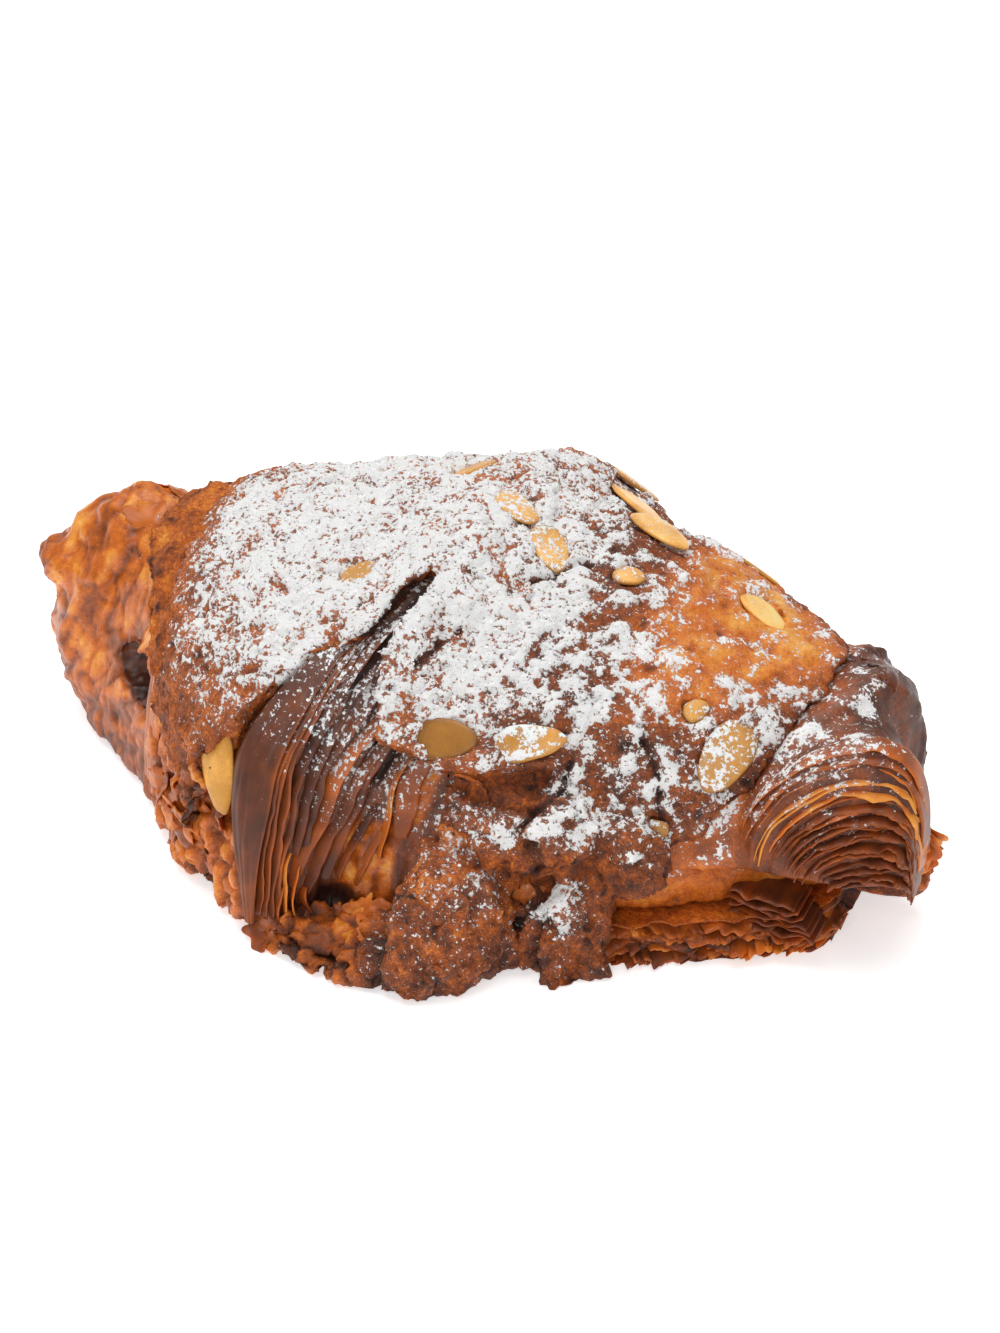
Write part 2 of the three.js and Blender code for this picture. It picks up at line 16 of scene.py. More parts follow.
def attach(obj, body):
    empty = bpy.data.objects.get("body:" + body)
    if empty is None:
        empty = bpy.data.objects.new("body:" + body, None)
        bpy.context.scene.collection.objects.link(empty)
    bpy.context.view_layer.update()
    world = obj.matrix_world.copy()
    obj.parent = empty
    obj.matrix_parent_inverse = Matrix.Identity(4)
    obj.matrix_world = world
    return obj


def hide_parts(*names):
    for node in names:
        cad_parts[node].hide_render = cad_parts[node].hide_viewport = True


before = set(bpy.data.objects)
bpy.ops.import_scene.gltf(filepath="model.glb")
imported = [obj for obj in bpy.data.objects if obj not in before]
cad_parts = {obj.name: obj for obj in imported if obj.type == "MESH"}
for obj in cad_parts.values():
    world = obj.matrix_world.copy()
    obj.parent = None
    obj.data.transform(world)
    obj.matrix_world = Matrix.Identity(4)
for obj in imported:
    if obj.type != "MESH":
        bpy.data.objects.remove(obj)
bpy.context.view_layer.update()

bl_info = {
    "name": "Almond Croissant",
    "version": (1, 0, 0),
    "blender": (4, 5, 0),
    "location": "3D View > Sidebar > Croissant",
    "description": "Builds the finished surfaces of an almond croissant over its packed solids",
    "category": "Add Mesh",
}

# Form of the roll, in mm in the roll's own axes, as in the solids
MM = 0.001
SHIFT = np.array((1.0818, 4.2267, 0.0))  # from the roll's own axes to the frame
PROFILE = np.array((  # place along X: front edge, back edge, crest line, crest height
    (-74, -2, 18, 8, 29), (-56, -17, 28, 6, 42), (-36, -39, 38, 4, 48), (-17, -48, 44, 4, 51),
    (6, -47, 46, 4, 54), (30, -39, 41, 3, 48), (50, -30, 32, 1, 40), (66, -21, 21, -1, 33),
    (76, -14, 10, -2, 20),
), float)
FOOT = 1.5  # height at which the skin starts
ARCH_POWER = 0.86  # fullness of its arch
RIDGE = 4.5  # station of the dark ridge on the crest
RIDGE_LEAN = -23  # how far a wrap runs along X from the crest to its front foot
LEAN_REACH = 70  # how far from the ridge the wraps lean
LAYER_FALL = 0.7  # fall of the layered edges for each mm past the ridge
LAYERS_WIDTH = 11.9  # stretch past the ridge over which they fall, and the stretch to the plain skin
VALLEY_WIDTH = 16
BAND_WIDTH = 11  # stretch before the ridge that rises, how fast it rises and how far
BAND_RISE = 4
BAND_PROUD = 3.4
WRAP_PROUD = 0.9  # how far every wrap stands out
LEFT_EDGE = -47  # station where the wraps start
HORN_INNER = np.array(((53.5, -26.0), (68.0, -26.5)))  # left feet of its outermost and innermost arch
HORN_OUTER = np.array(((81.68, -17.28), (81.6, -22.5)))  # right feet of both
HORN_HEIGHT = (37.5, 20.0)
HORN_FOOT = (15.0, 16.0)
HORN_SKEW = 0.32  # how far the arches lean outwards
HORN_DROP = 2.4  # how much lower its innermost sheets end on the outside
BASE_ENDS = (-45, 69)
BASE_OUTSET = 2.6  # how far the lower half stands out past the roll
BASE_FLARE = (38, 70, 5.5)  # x where its front starts and ends to flare, and by how much
RIM_FULL = 0.28  # bluntness of its ends

# Parts of the upper half: spans of x, y, the station or the angle over which they start or end
FRONT_END = (1.15, 1.45)
BACK_START = (1.75, 2.1)
SLOPE_START = (-60, -56)
SLOPE_TOP = (0.35, 0.6)
LOBE_END = (-55, -46)
RIGHT_START = (30, 38)
HORN_START = (52, 57)
HORN_BACK = (-4, 4)
REAR_START = (52, 60)  # end of the roll behind the horn
FAR_SIDE = 66.5  # x where the horn's dark outer side starts
# Patches on the roll: span past the ridge and its soft edge, span of angles and its soft edge
AMBER_PATCHES = ((10.8, 16.4, 1, 0.1, 0.31, 0.05), (14.6, 18.0, 1, 0.38, 0.53, 0.05))
# The gap and both slits are sunk and painted dark inside as shade.
GAP = (8.6, 11.0, 0.8, 0.5, 0.76, 0.06)
VALLEY = (9, 22, 3, 0.1, 0.62, 0.1)
SLIT = (-1.4, 1.2, 0.8, 0.8, 1.08, 0.06)
CRUST_SLIT = (-1.6, 1.2, 0.8, 0.86, 1.08, 0.06)
HOLE = (-7.2, -45.5, 6.0)  # gap at the foot of the ridge, sunk and painted dark inside as shade
HOLE_SIZE = (2.4, 4.0, 2.8)
CAVE = (-56.0, -14.0, 20.5)  # hollow beside the left lobe, painted dark inside as shade, and how it is turned
CAVE_SIZE = (8.5, 5.5, 4.0)
CAVE_TURN = -0.85
WRAP_AXIS = np.array((0.87, 0.3, -0.49))  # across the wraps of the left lobe
WRAP_LINE = -66.2  # where one of them ends along that axis, and their spacing
WRAP_STEP = 6.3
LOBE_AXES = np.array((  # across and along the lobe's folds
    (0.83, 0.29, -0.47), (-0.12, -0.16, -0.32), (-0.16, 0.33, -0.07),
))
BACK_WRAP = 21.0  # spacing of the wraps that show at the back
SKIRT_START = (26, 34)  # x where the lower half starts to show at the front

# Parts of the crust: spans of x, y and z over which they start or end
LUMPS_BACK = (-42, -36)
LUMPS_TOP = (24, 30)
CARAMEL_END = (0, 5)  # glossy left part of the lumps
CRUMBS_TOP = (22, 30)
CRUMBS_END = (0, 6)
CLEAR_START = (28, 40)  # smooth golden stretch on the right
CLEAR_FOOT = (35, 43)
CRUST_RIM = (-53, -43)
TORN_LUMP = ((4, 16, 3), (17.5, 22, 2))  # spans of x and z, each with its soft edge
LIP = (7, 26, 2.5)  # span of x with its soft edge, then its underside and its edge in z
LIP_UNDER = (28.8, 32.4, 1.0)
LIP_EDGE = (33.6, 36.6, 1.0)
LIP_FRONT = -30
PATCHY_START = (8, 26)  # where the sugar starts to lie in clumps
CRUST_CRACKS = (  # x, y points along cracks in the crust, which are sunk and painted dark inside as shade
    ((7.1, -25.5), (4.2, -29.5), (2.5, -32.1)),
    ((21.6, -5.2), (18.8, -7.8), (16.1, -10.7), (14.6, -13.8)), ((29, -34), (28, -40), (25, -44)),
    ((38, -27), (41, -29), (43, -31)), ((-30, 2), (-24, 5), (-18, 4)), ((-10, 16), (0, 20), (8, 18)),
    ((3, -41), (4, -47), (3, -52), (6, -58)), ((27, -46), (24, -50), (25, -54)),
)

# Where icing sugar lies: x, y, z, how far it spreads and how thick it is
SUGAR_DRIFTS = (
    (-45, 0, 48, 8, 0.5), (-36, -6, 51, 14, 0.9), (-26, -16, 51, 14, 0.95), (-33, -24, 41, 9, 0.62),
    (-26, 6, 54, 16, 0.9), (-12, 4, 56, 16, 0.92), (-8, -16, 55, 14, 0.95), (3, -20, 54, 13, 0.88),
    (-19, -30, 44, 10, 0.88), (-9, -31, 47, 8, 0.88), (-40, -24, 37, 6, 0.45), (-26, -35, 36, 8, 0.36),
    (6, -4, 58, 14, 0.75), (14, -18, 50, 14, 0.9), (10, -29, 44, 10, 0.92), (24, -24, 44, 11, 0.66),
    (24, -6, 52, 13, 0.5), (12, 10, 56, 12, 0.6), (33, -24, 40, 9, 0.26), (33, -34, 32, 9, 0.26),
    (36, -20, 43, 9, 0.22), (43, -19, 40, 8, 0.26), (41, -26, 36, 9, 0.24), (53, -17, 37, 8, 0.46),
    (50, -24, 31, 7, 0.6), (45, -29, 25, 9, 0.8), (58, -12, 39, 7, 0.4), (48, -10, 43, 7, 0.1),
    (17, -44, 25, 8, 0.92), (27, -42, 28, 9, 0.74), (30, -46, 13, 6, 0.92), (19, -50, 18, 6, 0.65),
    (38, -37, 20, 6, 0.4), (62, -21, 35, 9, 0.4), (70, -14, 36, 9, 0.25), (-54, -6, 41, 8, 0.3),
    (-58, 2, 43, 6, 0.24), (2, -37, 35, 8, 0.75), (-2, -40, 26, 7, 0.6), (-6, -39, 36, 8, 0.45),
    (-12, -40, 34, 8, 0.2), (60, 2, 40, 10, 0.35), (-30, 22, 48, 16, 0.7), (0, 26, 48, 18, 0.75),
    (26, 22, 46, 16, 0.6), (46, 10, 42, 12, 0.2),
)
LOBE_SUGAR = (-49, -39)  # x over which the thin sugar of the left lobe ends

# The band that climbs the front: angle round the roll, and its left and right edges from the ridge
BAND_EDGES = np.array((
    (0.03, -1.0, 0.8), (0.14, -2.8, 1.0), (0.26, -6.2, 0.6), (0.36, -9.2, 0.0), (0.5, -12.0, -1.9),
    (0.65, -12.2, -3.0), (0.8, -10.4, -4.0), (0.93, -7.0, -4.4), (1.0, -5.2, -4.6),
))
# Sheets whose edges climb beside the band: lowest angle and place right of the band's edge there,
# highest angle and place there, width, stand and baking
RIDGE_EDGES = (
    (0.04, 0.6, 0.96, 0.8, 2.6, 0.5, 0.76), (0.03, 1.3, 0.98, 1.5, 2.4, 0.45, 0.72),
    (0.03, 2.4, 0.94, 2.5, 2.2, 0.4, 0.78), (0.05, 2.8, 0.5, 3.8, 2.2, 0.25, 0.7),
    (0.3, 3.6, 1.0, 5.0, 2.6, 0.2, 0.84), (0.22, 4.6, 0.86, 6.8, 2.4, 0.15, 0.8),
    (0.16, 5.2, 0.9, 9.4, 2.6, 0.3, 0.8), (0.12, 5.2, 0.76, 12.2, 3.4, 1.1, 0.64),
    (0.1, 6.6, 0.6, 12.8, 2.6, 0.5, 0.74), (0.14, 8.8, 0.74, 14.4, 3.0, 0.3, 0.76),
    (0.22, 14.6, 0.57, 16.2, 1.3, 1.5, 0.42), (0.3, 17.4, 0.6, 19.6, 3.0, 0.3, 0.58),
    (0.02, 3.0, 0.13, 3.8, 1.4, 0.9, 0.56), (0.02, 4.4, 0.23, 4.0, 1.6, 1.5, 0.46),
    (0.02, 5.9, 0.19, 5.0, 1.3, 2.2, 0.42), (0.03, 7.4, 0.12, 6.2, 1.8, 1.2, 0.5),
    (0.14, 9.6, 0.4, 13.0, 1.5, 0.4, 0.76), (0.12, 11.8, 0.36, 15.4, 1.3, 0.5, 0.68),
)
PALE_EDGES = 3  # how many of them have pale edges
# Sheets nested in the horn, from the outermost: share of the way in, how far forward and baking
HORN_EDGES = (
    (-0.03, 0.6, 0.6), (0.05, 1.4, 0.7), (0.11, 0.8, 0.52), (0.2, 2.0, 0.4), (0.25, 0.9, 0.34),
    (0.33, 2.2, 0.42), (0.37, 1.5, 0.7), (0.44, 2.6, 0.78), (0.48, 2.0, 0.68), (0.545, 3.0, 0.8),
    (0.6, 2.1, 0.7), (0.66, 3.2, 0.8), (0.7, 2.4, 0.7), (0.79, 3.0, 0.78), (0.83, 2.4, 0.72),
    (0.92, 2.9, 0.8), (0.98, 2.2, 0.84), (1.06, 2.6, 0.78), (1.13, 1.6, 0.86),
)
# Rows of flakes round the lower half: side, heights, and first and last place along X and spacing
FLAKE_ROWS = (
    (-1, (0.8, 1.9, 3.2, 4.6, 5.8), (30, 67, 5.2)),
    (1, (0.9, 2.6, 4.4, 6.0), (-40, 64, 6.0)),
)
# Loose sheets on the upper half: how many, spans of x and y and of their size, and baking
LOOSE_SHEETS = ((9, (-78, -50), (-14, 24), (6, 12), 0.42), (12, (54, 78), (-6, 20), (5, 10), 0.82))
# Scraps on the torn slope: how many, spans of the station and the angle, of their size and baking
SLOPE_SCRAPS = (10, (-50, -6), (0.04, 0.3), (2.4, 4.6), (0.4, 0.62))
# Scraps at the foot of the lumps: how many, spans of x and y, of their size and baking, and how high it is
LUMP_SCRAPS = (9, (-20, 3), (-60, -45), (2.6, 5.4), (0.4, 0.6))
LUMP_FOOT = 8
SCRAP_THICK = 0.36
LOOSE_THICK = 0.24
# Leaves that stick out under the horn: how many, where the first starts and ends, and their spacing
SKIRT_LEAVES = 6
SKIRT_LEAF = (53.0, -21.0, 5.2)
SKIRT_LEAF_END = 67.5
SKIRT_LEAF_STEP = 1.05
# Torn sheets on the horn's outer side: how many, where the first starts, its top and its reach
HORN_TATTERS = 6
TATTER = (75.0, -13.0, 9.5)
TATTER_TOP = 24.0
TATTER_REACH = 7.4
WRAP_SHEETS = 3  # edges of the wraps beside the left lobe
HORN_SEED = 9  # seeds of the random draws
FLAKE_SEED = 5

# Almond slices in order: baking and share of the sugar around them
ALMOND_TONES = (
    (0.28, 0.2), (0.56, 0.0), (0.34, 1.8), (0.34, 0.3), (0.28, 0.15), (0.14, 0.15), (0.12, 0.2),
    (0.2, 0.6), (0.2, 0.5), (0.06, 0.25), (0.26, 0.6), (0.22, 0.6), (0.36, 0.6), (0.45, 0.7), (0.2, 0.5),
    (0.2, 0.4), (0.22, 0.4), (0.24, 0.4),
)
SLICE_SUNK = 0.2  # how deep they are pressed in, and what gives way under them
PASTRY_PRESSED = 0.3
CRUST_PRESSED = 0.2


def lerp(a, b, share):
    """Runs from a to b as share runs from 0 to 1."""
    return a + (b - a) * share


def smooth(low, high, value):
    """Runs from 0 to 1 as value runs from low to high."""
    share = np.clip((value - low) / (high - low), 0, 1)
    return share * share * (3 - 2 * share)


def fade(low, high, value):
    """Runs from 1 to 0 as value runs from low to high."""
    return 1 - smooth(low, high, value)


def bump_between(low, high, soft, value):
    """1 between low and high, fading out over soft on both sides."""
    return smooth(low - soft, low, value) * fade(high, high + soft, value)


def saw(share, peak):
    """Climbs from 0 to 1 as share runs from 0 to peak, and falls back to 0 as it runs on to 1."""
    return np.minimum(share / peak, (1 - share) / (1 - peak))


def shares(rows, columns):
    """Shares from 0 to 1 along and across a sheet, as a column and a row."""
    return np.linspace(0, 1, rows)[:, None], np.linspace(0, 1, columns)[None, :]


def joined(x, y, z=0.0):
    """Points from their coordinates, each a number or a grid of numbers."""
    return np.stack(np.broadcast_arrays(x, y, z), -1)


def curve(table, at):
    """Smooth curves through the rows of a table whose first column is the place along it."""
    place, rows = table[:, 0], table[:, 1:]
    step = np.diff(rows, axis=0) / np.diff(place)[:, None]
    slope = np.empty_like(rows)
    slope[1:-1] = (rows[2:] - rows[:-2]) / (place[2:] - place[:-2])[:, None]
    slope[0] = 1.5 * step[0] - 0.5 * slope[1]
    slope[-1] = 1.5 * step[-1] - 0.5 * slope[-2]
    at = np.clip(at, place[0], place[-1])
    i = np.clip(np.searchsorted(place, at, side="right") - 1, 0, len(place) - 2)
    width = (place[i + 1] - place[i])[..., None]
    t = (at - place[i])[..., None] / width
    found = (
        rows[i] * (1 + 2 * t) * (1 - t) ** 2
        + slope[i] * width * t * (1 - t) ** 2
        + rows[i + 1] * t * t * (3 - 2 * t)
        + slope[i + 1] * width * t * t * (t - 1)
    )
    return np.moveaxis(found, -1, 0)


# Random fields
TURNED = np.array(((0.36, 0.48, -0.8), (-0.8, 0.6, 0.0), (0.48, 0.64, 0.6)))
HASH = np.array((0x9E3779B1, 0x85EBCA77, 0xC2B2AE3D), np.uint32)
NOISE_SCALE = 1.7  # brings noise to about -1 to 1
FARTHEST = 9.0  # more than any distance to the nearest speck
PIT_CHANCE = 0.55  # specks with a higher number are pits


def dice(cells, seed):
    """Even random numbers from 0 to 1, one for each whole-number cell."""
    n = (cells.astype(np.int64).astype(np.uint32) * HASH).sum(-1, dtype=np.uint32)
    n = n + np.uint32((seed * 0x27D4EB2F) & 0xFFFFFFFF)
    for shift, factor in ((15, 0x2C1B3C6D), (12, 0x297A2D39)):
        n = (n ^ (n >> np.uint32(shift))) * np.uint32(factor)
    return (n ^ (n >> np.uint32(15))) / 2.0**32


def noise(points, size, seed=0):
    """Smooth noise of about -1 to 1 with features of that size."""
    q = points @ TURNED.T / size
    cell = np.floor(q)
    t = q - cell
    w = t * t * t * (t * (t * 6 - 15) + 10)
    total = np.zeros(points.shape[:-1])
    for corner in product((0, 1), repeat=3):
        toward = np.stack([dice(cell + corner, 3 * seed + k) for k in range(3)], -1) * 2 - 1
        weight = np.prod(np.where(corner, w, 1 - w), -1)
        total += weight * ((t - corner) * toward).sum(-1)
    return NOISE_SCALE * total


def rough(points, size, seed=0, octaves=3, gain=0.55):
    """Noise with finer noise on it."""
    return sum(gain**k * noise(points, size / 2.1**k, seed + 17 * k) for k in range(octaves))


def specks(points, size, seed=0):
    """Distance to the nearest of scattered specks, in sizes, and a random number of that speck."""
    q = points / size
    cell = np.floor(q)
    nearest = np.full(len(points), FARTHEST)
    number = np.zeros(len(points))
    for step in product((-1, 0, 1), repeat=3):
        at = cell + step
        place = at + np.stack([dice(at, seed + k) for k in range(3)], -1)
        far = np.linalg.norm(q - place, axis=-1)
        closer = far < nearest
        nearest = np.where(closer, far, nearest)
        number = np.where(closer, dice(at, seed + 5), number)
    return nearest, number


def chunks(points, size, seed=0):
    """Crumbled chunks: how far each stands out, from -1 to 1, and 1 in the gaps between them."""
    sway = np.stack([noise(points, 1.3 * size, seed + 20 + k) for k in range(3)], -1)
    far, number = specks(points + 0.45 * size * sway, size, seed)
    return 2 * number - 1, smooth(0.45, 0.75, far)


def pits(points, size, seed, reach):
    """1 in the middle of scattered pits, 0 from their edges on."""
    far, number = specks(points, size, seed)
    return np.where(number > PIT_CHANCE, np.maximum(0, 1 - far / reach), 0)


# The roll's skin
SEAT_ROUNDS = 6  # rounds that bring a point's station close enough


def lean(station):
    """How far a wrap runs along X from the crest to its foot."""
    near = np.maximum(0, 1 - np.abs(station - RIDGE) / LEAN_REACH)
    return RIDGE_LEAN * near * near * (3 - 2 * near)


def wrap(station):
    """How far the wraps stand proud along the roll."""
    past = station - RIDGE
    band = WRAP_PROUD + BAND_PROUD * smooth(-BAND_WIDTH, BAND_RISE - BAND_WIDTH, past)
    fall = WRAP_PROUD + BAND_PROUD - LAYER_FALL * np.clip(past, 0, LAYERS_WIDTH)
    fall = fall * np.clip(1 - (past - LAYERS_WIDTH) / VALLEY_WIDTH, 0, 1)
    return np.where(station < LEFT_EDGE, 0, np.where(past <= 0, band, fall))


def skin(station, angle, lift=0.0, proud=None):
    """Points of the skin. The angle runs from the front foot over the crest to the back foot."""
    station, angle, lift = np.broadcast_arrays(station, angle, lift)
    across = np.cos(angle)
    x = station + lean(station) * across * np.abs(across)
    front, back, crest, top = curve(PROFILE, x)
    raised = wrap(station) if proud is None else proud
    rise = lift + raised * np.sqrt(np.abs(across))
    reach = np.where(across > 0, crest - front, back - crest) + rise
    high = (top - FOOT + rise) * np.maximum(np.sin(angle), 0) ** ARCH_POWER
    return np.stack((x, crest - reach * across, FOOT + high), -1)


def seat(points):
    """Station along the roll and angle round it of points near its skin."""
    x, y, z = points.T
    front, back, crest, top = curve(PROFILE, x)
    reach = np.where(y < crest, crest - front, back - crest)
    station = x
    for _ in range(SEAT_ROUNDS):
        proud = wrap(station)
        high = np.maximum(z - FOOT, 0) / (top - FOOT + proud)
        angle = np.arctan2(high ** (1 / ARCH_POWER), (crest - y) / (reach + proud))
        across = np.cos(angle)
        station = x - lean(station) * across * np.abs(across)
    return station, angle


def horn_point(share, angle, forward=0.0, out=0.0):
    """Points of the horn's nested arches, from the outermost (share 0) to the innermost (share 1)."""
    share, angle, forward, out = np.broadcast_arrays(share, angle, forward, out)
    inner = lerp(HORN_INNER[0], HORN_INNER[1], share[..., None])
    outer = lerp(HORN_OUTER[0], HORN_OUTER[1], share[..., None])
    chord = outer - inner
    half = np.linalg.norm(chord, axis=-1) / 2
    along = half + (half + out) * (HORN_SKEW * np.sin(angle) ** 2 - np.cos(angle))
    plan = inner + chord / (2 * half)[..., None] * along[..., None]
    foot = lerp(*HORN_FOOT, share) - HORN_DROP * share * along / (2 * half)
    tall = lerp(*HORN_HEIGHT, share) - foot + 2 * out
    high = foot - out + np.maximum(np.sin(angle), 0) ** ARCH_POWER * tall
    return np.stack((plan[..., 0], plan[..., 1] - forward, high), -1)


def base_rim(x, side):
    """Plan line of the lower half's edge, in front (side -1) or at the back (side 1)."""
    front, back, crest, _ = curve(PROFILE, x)
    share = np.clip((x - BASE_ENDS[0]) / (BASE_ENDS[1] - BASE_ENDS[0]), 0, 1)
    blunt = (2 * np.sqrt(share * (1 - share))) ** RIM_FULL
    flare = BASE_FLARE[2] * smooth(BASE_FLARE[0], BASE_FLARE[1], x)
    edge = back + BASE_OUTSET if side > 0 else front - BASE_OUTSET - flare
    return crest + (edge - crest) * blunt


def on_roll(patch, past, angle):
    """1 on a patch of the roll, 0 away from it."""
    return bump_between(*patch[:3], past) * bump_between(*patch[3:], angle)


def hollow(points, middle, size, turn=0.0):
    """1 in the middle of a rounded hollow, fading out over its size. It is turned about the upright."""
    c, s = math.cos(turn), math.sin(turn)
    local = (points - middle) @ np.array(((c, -s, 0), (s, c, 0), (0, 0, 1)))
    return np.exp(-((local / size) ** 2).sum(-1))


def sugar_at(points, normals):
    """How much icing sugar lies at points, from 0 to 1."""
    bare = np.ones(len(points))
    for *place, spread, amount in SUGAR_DRIFTS:
        far = ((points - place) ** 2).sum(-1) / spread**2
        bare *= 1 - amount * np.exp(-far)
    drift = 0.94 * (1 - bare) * smooth(0.0, 0.55, normals[:, 2])
    drift *= lerp(0.3, 1, smooth(*LOBE_SUGAR, points[:, 0]))
    patchy = 0.5 * noise(points, 5.5, 41) + 0.55 * noise(points, 2.6, 42) + 0.5 * noise(points, 1.3, 43)
    return np.clip(drift + patchy * np.sqrt(drift * (1.15 - 0.75 * drift)), 0, 1)


def clumps(points, share):
    """Factor that gathers a share of the sugar into clumps."""
    return lerp(1, 0.3 + 1.5 * smooth(-0.1, 0.4, noise(points, 3.6, 70)), share)


# Meshes
WELD = 1e-6  # distance at which points are one, in metres
SLICE_WELD = 2e-6
SHRINK = 0.6  # share of the way to its neighbours that smoothing moves a point, and then back
SWELL = -0.62
SLICE_REACH = 2.5  # how far over or under a slice a surface is still below it


def points_of(mesh):
    """Points of a mesh, in mm in the roll's own axes."""
    found = np.empty(len(mesh.vertices) * 3, np.float32)
    mesh.vertices.foreach_get("co", found)
    return found.reshape(-1, 3).astype(float) / MM - SHIFT


def set_points(mesh, points):
    """Moves the points of a mesh, none of them below the floor."""
    points = points.copy()
    points[:, 2] = np.maximum(points[:, 2], 0)
    mesh.vertices.foreach_set("co", ((points + SHIFT) * MM).astype(np.float32).ravel())
    mesh.update()


def normals_of(mesh):
    """Normals at the points of a mesh."""
    found = np.empty(len(mesh.vertices) * 3, np.float32)
    mesh.vertex_normals.foreach_get("vector", found)
    return found.reshape(-1, 3).astype(float)


def paint(mesh, **values):
    """Stores numbers on the points of a mesh for its material."""
    for name, value in values.items():
        attribute = mesh.attributes.get(name) or mesh.attributes.new(name, "FLOAT", "POINT")
        attribute.data.foreach_set("value", np.full(len(mesh.vertices), value, np.float32))


def place(name, mesh, slot, nodes=()):
    """Puts a finished mesh in the scene as a piece of the croissant."""
    piece = bpy.data.objects.new(name, mesh)
    bpy.context.scene.collection.objects.link(piece)
    mesh.shade_smooth()
    if nodes:
        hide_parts(*nodes)
    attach(piece, "root")


def coarse():
    return 1.0


def refined(node, pitch, rounds):
    """A fine, even copy of a solid with its facets smoothed away."""
    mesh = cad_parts[node].data.copy()
    mesh.materials.clear()
    work = bmesh.new()
    work.from_mesh(mesh)
    bmesh.ops.remove_doubles(work, verts=work.verts, dist=WELD)
    work.to_mesh(mesh)
    work.free()
    piece = bpy.data.objects.new("work", mesh)
    bpy.context.scene.collection.objects.link(piece)
    even = piece.modifiers.new("Even", "REMESH")
    even.mode = "VOXEL"
    even.voxel_size = pitch * coarse()
    fine = bpy.data.meshes.new_from_object(piece.evaluated_get(bpy.context.evaluated_depsgraph_get()))
    bpy.data.objects.remove(piece)
    bpy.data.meshes.remove(mesh)
    points = points_of(fine)
    edges = np.empty(len(fine.edges) * 2, np.int32)
    fine.edges.foreach_get("vertices", edges)
    a, b = edges.reshape(-1, 2).T
    count = np.bincount(edges, minlength=len(points))[:, None]
    for step in range(2 * rounds):
        mean = np.empty_like(points)
        for axis in range(3):
            before, after = points[a, axis], points[b, axis]
            mean[:, axis] = np.bincount(a, after, len(points)) + np.bincount(b, before, len(points))
        points += (SHRINK if step % 2 == 0 else SWELL) * (mean / count - points)
    set_points(fine, points)
    return fine


class Sheets:
    """Thin sheets of pastry gathered into one mesh."""

    def __init__(self):
        self.points, self.faces, self.bake, self.count = [], [], [], 0

    def add(self, grid, thick, bake):
        """Adds a closed sheet through a grid of points, thinner at its edges."""
        rows, columns = grid.shape[:2]
        normal = np.cross(np.gradient(grid, axis=0), np.gradient(grid, axis=1))
        normal /= np.maximum(np.linalg.norm(normal, axis=-1, keepdims=True), 1e-9)
        u = np.linspace(-1, 1, rows)[:, None]
        v = np.linspace(-1, 1, columns)[None, :]
        half = 0.5 * thick * (1 - 0.6 * np.maximum(np.abs(u), np.abs(v)) ** 6)[..., None]
        points = np.concatenate((grid + normal * half, grid - normal * half)).reshape(-1, 3)
        index = np.arange(rows * columns).reshape(rows, columns)
        quads = np.stack((index[:-1, :-1], index[1:, :-1], index[1:, 1:], index[:-1, 1:]), -1).reshape(-1, 4)
        rim = np.concatenate((index[:, 0], index[-1, 1:], index[-2::-1, -1], index[0, -2:0:-1]))
        after = np.roll(rim, -1)
        under = rows * columns
        sides = np.stack((after, rim, rim + under, after + under), -1)
        faces = np.concatenate((quads, quads[:, ::-1] + under, sides))
        self.points.append(points)
        self.faces.append(faces + self.count)
        self.bake.append(np.tile(np.broadcast_to(bake, (rows, columns)).ravel(), 2))
        self.count += len(points)

    def mesh(self, name):
        """The sheets as one mesh that stores how far they are baked."""
        made = bpy.data.meshes.new(name)
        points = np.concatenate(self.points)
        made.from_pydata(np.zeros((len(points), 3)), [], np.concatenate(self.faces).tolist())
        set_points(made, points)
        paint(made, bake=np.concatenate(self.bake))
        return made


def sugared(mesh, share=1.0):
    """Stores how much sugar lies on a mesh."""
    amount = sugar_at(points_of(mesh), normals_of(mesh)) * share
    paint(mesh, sugar=np.minimum(amount, 1))


def slice_nodes():
    """Names of the almond slices' nodes, in order."""
    return sorted(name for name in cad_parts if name.startswith("almond_slice"))


def slice_frame(node):
    """Middle of an almond slice, its axes along, across and up, and its half sizes."""
    corners = np.unique(np.round(points_of(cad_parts[node].data), 3), axis=0)
    middle = corners.mean(0)
    along, _, up = np.linalg.svd(corners - middle, full_matrices=False)[2]
    up = up * np.sign(up[2])
    spread = (corners - middle) @ along
    width = np.abs((corners - middle) @ np.cross(up, along))
    if width[spread > 0].mean() > width[spread < 0].mean():
        along = -along
    axes = (along, np.cross(up, along), up)
    ends = [((corners @ axis).min(), (corners @ axis).max()) for axis in axes]
    middle = sum(axis * (low + high) / 2 for axis, (low, high) in zip(axes, ends))
    return middle, axes, [(high - low) / 2 for low, high in ends]


def slices_over(points):
    """1 where almond slices lie on points, 0 away from them."""
    found = np.zeros(len(points))
    for node in slice_nodes():
        middle, (along, wide, up), size = slice_frame(node)
        local = points - middle
        far = np.hypot(local @ along / size[0], local @ wide / size[1])
        found = np.maximum(found, fade(0.8, 1.05, far) * (np.abs(local @ up) < SLICE_REACH))
    return found


